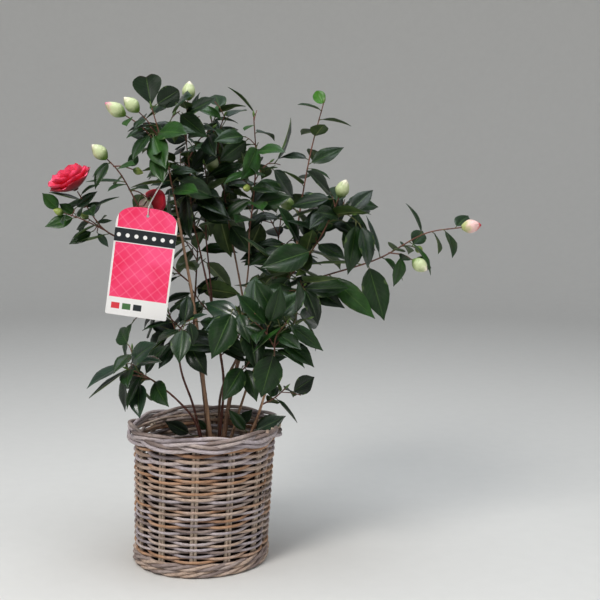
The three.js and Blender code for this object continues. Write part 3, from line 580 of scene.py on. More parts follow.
# Meshes, gathered piece by piece
class Piece:
    """A mesh made of many parts, with its materials and the CAD nodes that it stands for."""

    def __init__(self, name, slot, materials):
        self.name, self.slot, self.materials = name, slot, materials
        self.points, self.maps, self.rims, self.faces, self.tones = [], [], [], [], []
        self.size = 0

    def add(self, points, faces, uv, material, rim=None):
        """points in millimetres, one UV pair for each; rim marks the corners of a sharp margin."""
        points = np.asarray(points, float).reshape(-1, 3)
        self.points.append(points * MM)
        self.maps.append(np.asarray(uv, float).reshape(-1, 2))
        self.rims.append(np.zeros(len(points), bool) if rim is None else rim)
        self.faces += [tuple(c + self.size for c in face) for face in faces]
        self.tones += list(material) if np.ndim(material) else [material] * len(faces)
        self.size += len(points)

    def finish(self, nodes):
        mesh = bpy.data.meshes.new(self.name)
        mesh.from_pydata(np.concatenate(self.points).tolist(), [], self.faces)
        for material in self.materials:
            mesh.materials.append(material)
        mesh.polygons.foreach_set("material_index", self.tones)
        mesh.shade_smooth()
        corners = np.empty(len(mesh.loops), int)
        mesh.loops.foreach_get("vertex_index", corners)
        layer = mesh.uv_layers.new(name="plan")
        layer.uv.foreach_set("vector", np.concatenate(self.maps)[corners].ravel())
        ends = np.empty(len(mesh.edges) * 2, int)
        mesh.edges.foreach_get("vertices", ends)
        sharp = mesh.attributes.new("sharp_edge", "BOOLEAN", "EDGE")
        sharp.data.foreach_set("value", np.concatenate(self.rims)[ends].reshape(-1, 2).all(1))
        made = bpy.data.objects.new(self.name, mesh)
        bpy.context.scene.collection.objects.link(made)
        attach(made, "root")
        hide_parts(*nodes)


def grid_faces(rows, columns, closed=False, flip=False, looped=False):
    """The quads of a grid: closed joins its last column to its first, looped its last row."""
    faces = []
    for i in range(rows if looped else rows - 1):
        low, high = i * columns, (i + 1) % rows * columns
        for j in range(columns if closed else columns - 1):
            k = (j + 1) % columns
            face = (low + j, low + k, high + k, high + j)
            faces.append(face[::-1] if flip else face)
    return faces


def capped(rows, columns, flip=False):
    """The faces of a pipe of rings, and of its two ends."""
    ends = [tuple(range(columns)), tuple(range(rows * columns - 1, (rows - 1) * columns - 1, -1))]
    faces = grid_faces(rows, columns, closed=True, flip=flip)
    return faces + (ends if flip else [end[::-1] for end in ends])


def add_tube(piece, at, side, cross, radii, sides, material, seed=0.0, looped=False):
    """A tube along points; radii may vary by ring and by corner. A looped one joins end to end."""
    at = np.asarray(at, float)
    side, cross = (np.broadcast_to(np.asarray(v, float), at.shape) for v in (side, cross))
    rings = len(at)
    radii = np.asarray(radii, float)
    radii = np.broadcast_to(radii if radii.ndim > 1 else radii.reshape(-1, 1), (rings, sides))
    angle = np.linspace(0, 2 * math.pi, sides, endpoint=False)
    outward = side[:, None] * np.cos(angle)[:, None] + cross[:, None] * np.sin(angle)[:, None]
    points = at[:, None] + outward * radii[:, :, None]
    steps = np.linalg.norm(np.diff(at, axis=0), axis=1)
    run = np.concatenate([[0], np.cumsum(steps)]) * MM
    if looped:
        run = np.minimum(run, run[-1] + run[1] - run)
    uv = np.stack([np.repeat(run, sides), np.repeat(np.broadcast_to(seed, rings), sides)], 1)
    faces = grid_faces(rings, sides, True, True, looped=True) if looped else capped(rings, sides, True)
    piece.add(points, faces, uv, material)


def crosses(side, ahead):
    return [s.cross(t) for s, t in zip(side, ahead)]


def add_loop(piece, points, axis, thick, sides, material, seed=0.0):
    """A rod through points that ends where it starts, its rings set square to an axis."""
    count = len(points)
    ahead = [(points[(i + 1) % count] - points[i - 1]).normalized() for i in range(count)]
    side = [square(axis, t).normalized() for t in ahead]
    add_tube(piece, points, side, crosses(side, ahead), thick, sides, material, seed, looped=True)


def add_limb(piece, path, radii, sides, material, sink=0.0):
    """A tube along a Path, its foot sunk back along its start."""
    at, ahead, side, radii = list(path.at), list(path.ahead), list(path.side), list(radii)
    if sink:
        for run in (at, ahead, side, radii):
            run.insert(0, run[0])
        at[0] = at[0] - ahead[0] * sink
    add_tube(piece, at, side, crosses(side, ahead), radii, sides, material)


def axes_of(ahead):
    side = square(RIGHT if abs(ahead.x) < 0.8 else UP, ahead).normalized()
    return side, side.cross(ahead)


def add_rod(piece, base, ahead, places, radii, sides, material, seed=0.0):
    """A straight tube with a ring at each of its places ahead of base."""
    add_tube(piece, [base + ahead * s for s in places], *axes_of(ahead), radii, sides, material, seed)


def add_shell(piece, grid, thick, front, back, uv=None):
    """A thin closed sheet round a grid of points: front and back meet at its margin."""
    grid = np.asarray(grid, float)
    rows, columns, _ = grid.shape
    if uv is None:
        uv = np.stack(np.meshgrid(np.linspace(0, 1, columns), np.linspace(0, 1, rows)), -1)
    normal = np.cross(np.gradient(grid, axis=1), np.gradient(grid, axis=0))
    normal /= np.maximum(np.linalg.norm(normal, axis=-1, keepdims=True), 1e-9)
    rim = np.ones((rows, columns), bool)
    rim[1:-1, 1:-1] = False
    half = normal * np.where(rim, 0, thick / 2)[:, :, None]
    rim, uv = rim.ravel(), np.asarray(uv, float).reshape(-1, 2)
    inside = np.flatnonzero(~rim)
    twin = np.arange(rows * columns)  # each corner's place on the back: its own, at the margin
    twin[inside] = rows * columns + np.arange(len(inside))
    twin = twin.tolist()
    faces = grid_faces(rows, columns)
    below = [tuple(twin[c] for c in face) for face in faces]
    points = np.concatenate([(grid + half).reshape(-1, 3), (grid - half).reshape(-1, 3)[inside]])
    tones = [front] * len(faces) + [back] * len(faces)
    faces = [face[::-1] for face in faces] + below
    piece.add(points, faces, np.concatenate([uv, uv[inside]]), tones, np.append(rim, rim[inside]))


def add_cupped(piece, base, ahead, turn, shares, across, shape, thick, tones, uv=None):
    """A sheet that cups an axis. shape gives a place's half angle, radius and height on it."""
    side, cross = axes_of(ahead)
    grid = []
    for s in shares:
        row = []
        for x in across:
            wide, radius, height = shape(s, x)
            row.append(base + ahead * height + swung(side, cross, turn + x * wide) * radius)
        grid.append(row)
    add_shell(piece, grid, thick, *tones, uv)


# Materials
def srgb(*levels):
    """A plain colour, from screen values of 0 to 255."""
    linear = [c / 255 / 12.92 if c < 11 else ((c / 255 + 0.055) / 1.055) ** 2.4 for c in levels]
    return (*linear, 1)


def grey(level):
    return (level, level, level, 1)


class Shader:
    """A material's node tree, with short names for the nodes that the recipes use."""

    def __init__(self, name, roughness, **constants):
        self.material = bpy.data.materials.new(name)
        self.material.use_nodes = True
        self.tree = self.material.node_tree
        self.surface = self.tree.nodes["Principled BSDF"]
        for socket, value in dict(constants, Roughness=roughness).items():
            self.surface.inputs[socket.replace("_", " ")].default_value = value

    def node(self, kind, **sockets):
        made = self.tree.nodes.new(kind)
        for key, value in sockets.items():
            if hasattr(made, key):
                setattr(made, key, value)
            else:
                self.put(made.inputs[key.replace("_", " ")], value)
        return made

    def put(self, socket, value):
        if isinstance(value, bpy.types.NodeSocket):
            self.tree.links.new(value, socket)
        else:
            socket.default_value = value

    def stretched(self, vector, scale):
        return self.node("ShaderNodeMapping", Vector=vector, Scale=scale).outputs["Vector"]

    def place(self, scale=(1, 1, 1)):
        """The piece's own coordinates in metres, stretched."""
        return self.stretched(self.node("ShaderNodeTexCoord").outputs["Object"], scale)

    def plan(self):
        """The piece's own map, and its two numbers."""
        found = self.node("ShaderNodeUVMap", uv_map="plan").outputs["UV"]
        parts = self.node("ShaderNodeSeparateXYZ", Vector=found).outputs
        return found, parts["X"], parts["Y"]

    def noise(self, vector, scale, detail=3.0, rough=0.55):
        sockets = dict(Vector=vector, Scale=scale, Detail=detail, Roughness=rough)
        return self.node("ShaderNodeTexNoise", **sockets).outputs["Fac"]

    def maths(self, operation, a, b=0.0):
        made = self.node("ShaderNodeMath", operation=operation)
        self.put(made.inputs[0], a)
        self.put(made.inputs[1], b)
        return made.outputs[0]

    def plus(self, a, b):
        return self.maths("ADD", a, b)

    def less(self, a, b):
        return self.maths("SUBTRACT", a, b)

    def times(self, a, b):
        return self.maths("MULTIPLY", a, b)

    def off_half(self, value):
        return self.maths("ABSOLUTE", self.less(value, 0.5))

    def between(self, value, low, high):
        """0 at low and 1 at high, smoothly, and steady beyond them."""
        made = self.node("ShaderNodeMapRange", interpolation_type="SMOOTHSTEP", Value=value)
        made.inputs["From Min"].default_value = low
        made.inputs["From Max"].default_value = high
        return made.outputs["Result"]

    def ramp(self, value, *stops):
        made = self.node("ShaderNodeValToRGB", Fac=value)
        points = made.color_ramp.elements
        while len(points) < len(stops):
            points.new(0.5)
        for point, (place, colour) in zip(points, stops):
            point.position, point.color = place, colour
        return made.outputs["Color"]

    def mix(self, share, a, b):
        made = self.node("ShaderNodeMix", data_type="RGBA")
        for socket, value in ((0, share), (6, a), (7, b)):
            self.put(made.inputs[socket], value)
        return made.outputs[2]

    def relief(self, height, depth, strength=0.6):
        made = self.node("ShaderNodeBump", Height=height, Distance=depth, Strength=strength)
        self.put(self.surface.inputs["Normal"], made.outputs["Normal"])

    def finish(self, colour, roughness=None):
        self.put(self.surface.inputs["Base Color"], colour)
        if roughness is not None:
            self.put(self.surface.inputs["Roughness"], roughness)
        return self.material


def grainy(name, roughness, grain, dark, pale, ends=(0.3, 0.7), stretch=(1, 1, 1), relief=None):
    """Two tones by one noise of a scale, detail and roughness, in relief where it has a depth."""
    s = Shader(name, roughness)
    grains = s.noise(s.place(stretch), *grain)
    if relief:
        s.relief(grains, *relief)
    return s.finish(s.ramp(grains, (ends[0], dark), (ends[1], pale)))


def leaf_upper(name, deep, light, gloss=0.14):
    """Leathery leaf skin: a thin paler midrib, faint side veins, a painted highlight along the margin and a
    waxy coat.
    """
    s = Shader(name, 0.44, Coat_Weight=gloss, Coat_Roughness=0.2, Specular_IOR_Level=0.28)
    _, across, length = s.plan()
    off = s.off_half(across)
    midrib = s.between(off, 0.026, 0.006)
    slant = s.less(s.times(length, 9), s.times(off, 5))
    vein = s.between(s.maths("SINE", s.times(slant, 2 * math.pi)), 0.86, 1)
    mottle = s.noise(s.place(), 48, 4)
    colour = s.ramp(mottle, (0.3, deep), (0.72, light))
    colour = s.mix(s.times(vein, 0.12), colour, srgb(62, 96, 40))
    rib = s.times(s.less(1, s.times(length, 0.5)), midrib)
    colour = s.mix(s.times(rib, 0.5), colour, srgb(92, 128, 56))
    # A paler band along the margin: a painted highlight.
    colour = s.mix(s.times(s.between(off, 0.475, 0.5), 0.25), colour, srgb(88, 112, 64))
    colour = s.mix(s.between(length, 0.972, 1), colour, srgb(48, 36, 20))
    height = s.less(s.times(mottle, 0.5), s.times(vein, 0.5))
    s.relief(s.less(height, midrib), 0.0006, 0.5)
    return s.finish(colour, s.ramp(s.noise(s.place(), 120), (0.3, grey(0.34)), (0.7, grey(0.5))))


def leaf_under():
    s = Shader("leaf_under", 0.62)
    _, across, length = s.plan()
    off = s.off_half(across)
    colour = s.ramp(s.noise(s.place(), 70, 4), (0.3, srgb(40, 62, 20)), (0.7, srgb(70, 94, 38)))
    colour = s.mix(s.times(s.between(off, 0.05, 0.01), 0.6), colour, srgb(146, 160, 96))
    colour = s.mix(s.between(length, 0.97, 1), colour, srgb(70, 52, 30))
    s.relief(s.between(off, 0.06, 0.0), 0.0006)
    return s.finish(colour)


def bark(name, dark, pale):
    """Smooth young bark, streaked lengthwise, with pale specks."""
    s = Shader(name, 0.66)
    streak = s.noise(s.place((260, 260, 36)), 1.0, 5)
    speck = s.between(s.noise(s.place(), 420, 2), 0.62, 0.72)
    colour = s.ramp(streak, (0.28, dark), (0.7, pale))
    colour = s.mix(s.times(speck, 0.4), colour, srgb(190, 176, 150))
    s.relief(s.plus(streak, s.times(speck, 0.5)), 0.0009)
    return s.finish(colour)


def cane(name, dark, pale, grain=(140, 140, 900)):
    """Weathered cane: its tone drifts along each rod, over a fine lengthwise grain."""
    s = Shader(name, 0.72)
    drift = s.noise(s.stretched(s.plan()[0], (11, 7, 1)), 1.0, 3)
    fibre = s.noise(s.place(grain), 1.0, 4)
    colour = s.ramp(drift, (0.3, dark), (0.48, pale), (0.74, srgb(204, 188, 180)))
    colour = s.mix(s.times(s.between(fibre, 0.62, 0.3), 0.5), colour, srgb(88, 70, 58))
    s.relief(fibre, 0.0008, 0.7)
    return s.finish(colour, s.ramp(fibre, (0.3, grey(0.82)), (0.7, grey(0.6))))


def bud_scale(name, foot, body, tip):
    """A bud's skin, from the green at its foot to the colour of its tip."""
    s = Shader(name, 0.5, Coat_Weight=0.15, Coat_Roughness=0.3)
    _, across, height = s.plan()
    mottle = s.times(s.less(s.noise(s.place(), 130, 3), 0.5), 0.5)
    colour = s.ramp(s.plus(height, mottle), (0.12, foot), (0.5, body), (0.76, body), (0.95, tip))
    stripes = s.maths("SINE", s.times(across, 60))
    s.relief(s.plus(mottle, s.times(stripes, 0.12)), 0.0006)
    return s.finish(colour)


def petal_skin(name, deep, light, rim):
    s = Shader(name, 0.55, Sheen_Weight=0.08, Subsurface_Weight=0.1, Specular_IOR_Level=0.3)
    s.surface.inputs["Subsurface Radius"].default_value = (0.004, 0.001, 0.001)
    found, _, height = s.plan()
    veins = s.noise(s.stretched(found, (14, 1.6, 1)), 1.0, 3)
    drift = s.times(s.less(veins, 0.5), 0.5)
    s.relief(veins, 0.0005, 0.2)
    # Colour runs from deep at the petal's foot through light to rim at its end; on the red petals the pinker
    # end is a painted highlight.
    return s.finish(s.ramp(s.plus(height, drift), (0.0, deep), (0.5, light), (1.0, rim)))


LEAF_TONES = [
    leaf_upper("leaf_deep", srgb(8, 23, 9), srgb(17, 38, 15)),
    leaf_upper("leaf_green", srgb(13, 34, 11), srgb(25, 54, 18)),
    leaf_upper("leaf_bright", srgb(22, 50, 14), srgb(42, 82, 26)),
    leaf_upper("leaf_sheen", srgb(16, 36, 22), srgb(32, 60, 38), gloss=0.8),
    leaf_upper("leaf_young", srgb(34, 84, 4), srgb(62, 122, 8), gloss=0.05),
    leaf_under(),
]
DEEP, GREEN, BRIGHT, SHEEN, YOUNG, UNDER = range(6)
TWIG_TONES = [
    bark("twig_red", srgb(74, 40, 30), srgb(122, 74, 56)),
    bark("twig_green", srgb(58, 68, 32), srgb(92, 96, 50)),
]
BARK_TONES = [
    bark("bark_pale", srgb(126, 92, 70), srgb(176, 140, 112)),
    bark("bark_red", srgb(70, 36, 30), srgb(116, 68, 56)),
    bark("bark_brown", srgb(84, 60, 46), srgb(138, 104, 82)),
]
RED_TWIG, GREEN_TWIG = range(2)
STEM_TONE = dict(stem_a=0, stem_b=1, stem_l=2, stem_m=2, stem_n=0, stem_k=1, stem_i=1, stem_p=2, stem_q=0)
CREAM, LEAF_GREEN = srgb(190, 200, 152), srgb(92, 122, 44)
BUD_TONES = [
    bud_scale("bud_cream", LEAF_GREEN, CREAM, srgb(230, 222, 200)),
    bud_scale("bud_blush", LEAF_GREEN, CREAM, srgb(218, 128, 156)),
    bud_scale("bud_green", srgb(80, 108, 38), srgb(142, 160, 76), srgb(176, 182, 104)),
    bud_scale("bud_rosy", srgb(186, 192, 126), srgb(238, 196, 190), srgb(204, 20, 44)),
]
CREAM_BUD, BLUSH_BUD, GREEN_BUD, ROSY_BUD = range(4)
PETAL_TONES = [
    # Its pinker end is a painted highlight.
    petal_skin("petal_red", srgb(150, 0, 20), srgb(226, 16, 46), srgb(252, 96, 134)),
    # A darker copy of the red for the outer petals' back faces: painted shade.
    petal_skin("petal_back_shaded", srgb(76, 0, 10), srgb(104, 0, 16), srgb(150, 12, 34)),
    petal_skin("petal_blush", srgb(226, 222, 196), srgb(236, 188, 192), srgb(242, 222, 224)),
    # A less dark copy of the red for the back faces of the other red petals: painted shade.
    petal_skin("petal_mid_shaded", srgb(120, 0, 18), srgb(190, 10, 36), srgb(236, 62, 100)),
]
RED_PETAL, SHADED_PETAL, PALE_PETAL, HALF_SHADED_PETAL = range(4)
CANE_TONES = [
    cane("cane_grey", srgb(118, 107, 110), srgb(190, 179, 184)),
    cane("cane_tan", srgb(132, 110, 98), srgb(196, 171, 153)),
    cane("cane_amber", srgb(128, 92, 70), srgb(188, 145, 112)),
    cane("cane_brown", srgb(88, 75, 74), srgb(146, 129, 124)),
    # Paler than the rods' cane, to make up for the shade that the stakes stand in behind the rods: painted
    # light.
    cane("cane_stake", srgb(140, 122, 108), srgb(208, 190, 170), grain=(900, 900, 90)),
]
GREY_CANE, TAN_CANE, AMBER_CANE, BROWN_CANE, STAKE_CANE = range(5)


# Limbs: bark with lengthwise ridges and a swelling at each old leaf scar
LIMB_SIDES, KNOT_SPACING = 12, 31
TWIG_SIDES, TWIG_KNOT_SPACING = 7, 17
wood = Piece("bark_limbs", "bark", BARK_TONES)
twigs = Piece("twigs", "foliage", TWIG_TONES)
foliage = Piece("leaves", "foliage", LEAF_TONES)
for number, (name, (path, foot, tip)) in enumerate(limbs.items()):
    is_stem = name in STEMS
    rings = max(int(path.length / 3), 12)
    radii = np.empty((rings + 1, LIMB_SIDES))
    for i in range(rings + 1):
        share = i / rings
        base = foot + (tip - foot) * share + foot * ROOT_FLARE * is_stem * math.exp(-share * 22)
        knots = share * path.length / KNOT_SPACING
        knot = 0.2 * math.exp(-((((knots + number * 0.37) % 1 - 0.5) * 11) ** 2))
        for j in range(LIMB_SIDES):
            turn = 2 * math.pi * j / LIMB_SIDES
            spot = (math.cos(turn) * 1.4, math.sin(turn) * 1.4, share * path.length * 0.05 + number * 9)
            beside = 0.6 + 0.4 * math.cos(turn - number - round(knots) * 2.4)
            radii[i, j] = base * (0.97 + 0.1 * noise.noise(spot) + knot * beside)
    tone = STEM_TONE[name if is_stem else BOUGHS[name][0]]
    add_limb(wood, path.finer(rings), radii, LIMB_SIDES, tone, sink=5 if is_stem else 2.5)

for number, shoot in enumerate(shoots):
    path, (foot, tip) = shoot["path"], shoot["radii"]
    rings = max(int(path.length / 4), 6)
    radii = []
    for share in (i / rings for i in range(rings + 1)):
        from_knot = (share * path.length / TWIG_KNOT_SPACING + number * 0.3) % 1 - 0.5
        swell = 0.95 + 0.16 * math.exp(-((from_knot * 8) ** 2)) + 0.06 * noise.noise((share * 9, number, 0))
        radii.append((foot + (tip - foot) * share) * swell)
    tone = RED_TWIG if shoot["stem"] or number % 3 else GREEN_TWIG
    add_limb(twigs, path.finer(rings), radii, TWIG_SIDES, tone, sink=1.6)


# Leaves: half widths along the blade, as a share of the leaf's own
ACROSS = (-1, -0.68, -0.3, 0, 0.3, 0.68, 1)
SHARES = (0, 0.05, 0.13, 0.25, 0.4, 0.56, 0.7, 0.82, 0.91, 0.97, 1)
HEART_SHARES = (0, 0.08, 0.18, 0.32, 0.46, 0.6, 0.72, 0.83, 0.92, 0.98, 1)
POINTED = (0.07, 0.34, 0.66, 0.93, 1.04, 0.97, 0.75, 0.45, 0.2, 0.075, 0.02)
ROUND = (0.1, 0.36, 0.62, 0.84, 0.98, 1.03, 0.96, 0.78, 0.54, 0.28, 0.08)
HEART = (0.08, 0.2, 0.38, 0.62, 0.84, 1.0, 1.06, 1.02, 0.86, 0.62, 0.42)
WIDE = 0.7  # the width from which a leaf is round
NOTCH = 0.07  # how deep the heart-shaped leaf is notched at its end
LEAF_SHEET = 0.55


def add_leaf(leaf, tone, draw):
    """A leaf's blade, folded, wavy and drooping, on its stalk."""
    ahead, half = leaf["ahead"], leaf["width"] * leaf["length"] / 2
    heart = (leaf["mass"], leaf["mark"]) == ("crown_a", 0)
    shares = HEART_SHARES if heart else SHARES
    wave, phase = 0.03 + 0.05 * draw(), draw() * 6.28
    swell = 0.13 * min(0.5 / leaf["width"], 1) ** 2
    twist = (draw() - 0.5) * 16
    grid = []
    for share, wide in zip(shares, HEART if heart else ROUND if leaf["width"] > WIDE else POINTED):
        place, lift = blade_place(leaf, share)
        across, lift = (turned(v, ahead, twist * share) for v in (ahead.cross(leaf["over"]), lift))
        reach = max(wide * half, 0.25)
        row = []
        for x in ACROSS:
            notch = NOTCH * max(share - 0.72, 0) / 0.28 * (1 - abs(x)) ** 1.5 if heart else 0
            rise = -FOLD * reach * (1 - abs(x)) + swell * reach * math.sin(math.pi * abs(x))
            rise += wave * reach * math.sin(share * 11 + phase + x) * x * x
            rise -= 0.35 * (x == 0) * min(wide * 3, 1)
            row.append(place - ahead * (notch * leaf["length"]) + across * (x * reach) + lift * rise)
        grid.append(row)
    uv = [[((x + 1) / 2, share) for x in ACROSS] for share in shares]
    add_shell(foliage, grid, LEAF_SHEET, tone, UNDER, uv)
    stalk = Vector(grid[0][3]) - leaf["base"]
    forward = stalk.normalized()
    side = square(UP if abs(forward.z) < 0.9 else RIGHT, forward).normalized()
    at = [leaf["base"] + stalk * s for s in (-0.1, 0.35, 0.7, 1.15)]
    sizes = [(0.55 + leaf["length"] / 160) * s for s in (1.25, 0.95, 0.85, 0.7)]
    add_tube(twigs, at, side, side.cross(forward), sizes, 6, GREEN_TWIG)


shade = chance(401)
spray_lean = {name: shade() for name in MASSES}
for leaf in leaves:
    pick = 0.55 * spray_lean[leaf["mass"]] + 0.45 * shade()
    tone = DEEP if pick < 0.4 else GREEN if pick < 0.74 else BRIGHT
    if shade() < 0.13:
        tone = SHEEN
    if leaf["mass"] == "crown_f" and leaf["mark"] == 0:
        tone = YOUNG
    if leaf["mass"] == "crown_a" and leaf["width"] > WIDE:
        tone = DEEP
        if leaf["mark"] is None:
            leaf["over"] = turned(leaf["over"], leaf["ahead"], 36)
    add_leaf(leaf, tone, shade)


# Buds: an egg under overlapping scales
buds = Piece("buds", "foliage", BUD_TONES)
blossom = Piece("blossom", "foliage", PETAL_TONES)
PLAIN_BUD, SMALL_BUD, LONG_BUD = 32, 17, 37
STOUTNESS, STOUTEST = 0.335, 10.7  # a bud's radius as a share of its length, and at the most
FATTEST = 0.42  # where on its height
BUD_SINK = 1.5
BUD_SHEET, PETAL_SHEET = 0.5, 0.6
BUD_SHARES = (0, 0.18, 0.4, 0.6, 0.78, 0.92, 1)
BUD_ACROSS = (-1, -0.6, -0.2, 0.2, 0.6, 1)


def egg(share, length):
    """A bud's radius at a share of its height."""
    swell = 0.24 + 0.76 * math.sin(min(share / FATTEST, 1) * math.pi / 2)
    close = math.cos(max(share - FATTEST, 0) / (1 - FATTEST) * math.pi / 2)
    return min(STOUTNESS * length, STOUTEST) * swell * max(close, 0) ** 0.8


def add_bud(base, ahead, length, tone, draw):
    """Scales in five overlapping ranks round a solid core."""
    rings = np.linspace(0, 1, 9)
    core = [max(egg(s, length) * 0.95, 0.3) for s in rings]
    add_rod(buds, base, ahead, rings * length - BUD_SINK, core, 12, tone, rings)
    turn = draw() * 6.28
    for rank, high in enumerate((0.3, 0.5, 0.7, 0.88, 1.0)):
        low = -0.02 + rank * 0.05
        lift = (0.13 - rank * 0.024) * length * STOUTNESS

        def scale(s, x):
            share = low + (high - low) * s
            wide = (1.3 - 0.04 * rank) * (1 - s**2.6) ** 0.6 + 0.06 + 2 * max(share - 0.86, 0)
            radius = max(egg(min(share, 1), length), 0.3)
            radius += lift * (1 - 0.45 * s) * min(1, 6 * (1.02 - share))
            return wide, radius - 0.25 * lift * abs(x), share * length - BUD_SINK

        uv = [[(x / 2 + 0.5, low + (high - low) * s) for x in BUD_ACROSS] for s in BUD_SHARES]
        for k in range(2 if length > 20 else 1 + rank % 2):
            turn += math.pi + 0.2 * draw() if k else 2.1
            add_cupped(buds, base, ahead, turn, BUD_SHARES, BUD_ACROSS, scale, BUD_SHEET, (tone, tone), uv)


def add_petal(base, ahead, turn, reach, rise, span, curl, shut, tones, draw):
    """A broad petal: reach out from the axis, rise along it, half its span in radians.

    shut is how far its end closes over the middle of the bloom."""
    ruffle, phase = 0.03 + 0.04 * draw(), draw() * 6.28

    def petal(s, x):
        round_end = math.sqrt(max(1 - (max(s - 0.5, 0) / 0.52) ** 3, 0.02))
        swell = math.sin(s * math.pi / 2 * (1 + 1.4 * shut)) ** (1.1 + 0.5 * (1 - curl))
        radius = reach * (0.07 + 0.93 * swell) * (1 - 0.06 * x * x * s)
        radius += reach * ruffle * 0.6 * s * s * math.sin(3.7 * x + phase * 1.7)
        height = rise * (s ** (1.1 + curl) - 0.7 * curl * s**7)
        height += reach * ruffle * s * s * math.sin(2.8 * x + phase) + 0.05 * reach * s * s * abs(x)
        return span * (0.5 + 0.5 * min(s / 0.55, 1)) * round_end, max(radius, 0.6), height - 1

    shares, across = np.linspace(0, 1, 12), np.linspace(-1, 1, 9)
    add_cupped(blossom, base, ahead, turn, shares, across, petal, PETAL_SHEET, tones)


WHORLS = [  # petals, reach, rise, half span, curl: from the outer whorl to the middle
    (5, 1.06, 0.9, 0.86, 0.62),
    (5, 0.98, 1.14, 0.78, 0.42),
    (4, 0.74, 1.26, 0.86, 0.26),
    (3, 0.44, 1.3, 1.0, 0.12),
    (3, 0.22, 1.2, 1.2, 0.05),
]
# Tones of a petal's two faces, front and back: the darker backs of the red petals are painted shade
OUTER_FACES, INNER_FACES, BLUSH_FACES = (RED_PETAL, SHADED_PETAL), (RED_PETAL, HALF_SHADED_PETAL), (PALE_PETAL,) * 2


def add_bloom(base, ahead, radius, open_, draw, blush=None):
    """Whorls of petals, from the wide outer ones to the tight middle; open_ as in the CAD source.

    Outer petals on the side that blush points to are short and pale."""
    side, cross = axes_of(ahead)
    depth = radius * (1.1 - 0.5 * open_)
    full = radius * (0.62 + 0.38 * open_)
    turn = draw() * 6.28
    for rank, (number, reach, rise, span, curl) in enumerate(WHORLS):
        for k in range(number):
            around = turn + (k + 0.5 * (rank % 2)) * 2 * math.pi / number + 0.25 * draw()
            size = 0.93 + 0.12 * draw()
            tones = INNER_FACES if rank or blush else OUTER_FACES
            if rank == 0 and blush and swung(side, cross, around).dot(blush) > 0.3:
                tones = BLUSH_FACES
                rise *= 0.8
            form = (full * reach * size, depth * rise * size, span, curl * open_, max(0.7 - open_, 0))
            add_petal(base, ahead, around, *form, tones, draw)
    places = [s * depth * 0.5 - 3 for s in (0, 0.5, 1)]
    # The core in the middle of the bloom takes the darkest red: painted shade.
    add_rod(blossom, base, ahead, places, [full * 0.12, full * 0.2, full * 0.16], 10, SHADED_PETAL)

    def sepal(s, x):
        return 0.62 * math.sqrt(1.02 - s * s), radius * (0.07 + 0.16 * s), depth * 0.2 * s - 2.6

    for k in range(5):  # the green cup under the petals
        shares, across = (0, 0.35, 0.7, 1), (-1, -0.4, 0.4, 1)
        add_cupped(buds, base, ahead, turn + k * 1.257, shares, across, sepal, BUD_SHEET, (GREEN_BUD,) * 2)


# The tone of the first bud that a mass bears, where it is special
FIRST_BUD = dict(crown_h=ROSY_BUD, crown_a=BLUSH_BUD)
draw = chance(77)
for name, kind, base, ahead in borne:
    if kind == "bloom":
        add_bloom(base + Vector((-3, 0, 5)), ahead, 40, 0.75, draw)
    elif kind == "halfbloom":
        ahead = (ahead + Vector((-0.45, 0, 0.25))).normalized()
        add_bloom(base, ahead, 29, 0.35, draw, blush=Vector((-0.6, -0.4, -0.7)))
    else:
        tone = FIRST_BUD.pop(name, CREAM_BUD) if kind == "bud" else GREEN_BUD
        length = SMALL_BUD if kind == "smallbud" else LONG_BUD if tone == BLUSH_BUD else PLAIN_BUD
        add_bud(base - ahead * max(length - PLAIN_BUD, 0), ahead, length, tone, draw)

# A pointed leaf bud at the end of each shoot that bears nothing else
for path in (shoot["path"] for shoot in solid_shoots):
    if all((place - path.at[-1]).length > 1 for _, _, place, _ in borne):
        places, radii = (-1.5, 1.5, 4.5, 8, 10.5), [0.9, 1.7, 1.9, 1.0, 0.15]
        add_rod(buds, path.at[-1], path.ahead[-1], places, radii, 7, GREEN_BUD)

wood.finish(limbs)
for piece in (twigs, foliage, buds):
    piece.finish(MASSES)
blossom.finish(["spray_bloom", "spray_bud"])


# Basket: cane rods woven round pairs of stakes
HEIGHT, BASE_RADIUS, BODY_RADIUS = 240, 115, 122
FOOT_TOP, RIM_FOOT = 24, 209
ROD, STAKE = 2.35, 2.9  # radii
OPEN_FROM = COMPOST_TOP - 9  # the rods above this are seen against the light
OPEN_ROD = 3.0  # their radius
OPEN_STEP = 2.3  # how much higher they run inside the stakes than outside them
STAKES, FIRST_STAKE = 12, math.radians(-92.2)
ROWS = 35
WEAVE_DEPTH = ROD + STAKE
BORDER_RADIUS, BORDER_HEIGHT = 124.4, 225.4
SOIL_INSET = 17.8  # from the weave's outer face to the compost
parts = ("weave", "stakes", "border", "foot", "base")
weave, stakes, border, foot, underside = (Piece("basket_" + part, "wicker", CANE_TONES) for part in parts)
deal = chance(909)


def outer(z):
    return BASE_RADIUS + (BODY_RADIUS - BASE_RADIUS) * z / HEIGHT


def mid_radius(z):
    return outer(z) - 2 * ROD - STAKE


def basket_spot(r, a, z):
    """A place in the basket, which leans a little."""
    return Vector((r * math.cos(a) + LEAN * z / HEIGHT, r * math.sin(a), z))


def add_ring(piece, course, steps, thick, material, seed, sides=7):
    """A closed rod. course gives its radius and height at an angle."""
    points = []
    for a in (2 * math.pi * i / steps for i in range(steps)):
        r, z = course(a)
        points.append(basket_spot(r, a, z))
    add_loop(piece, points, UP, thick, sides, material, seed)


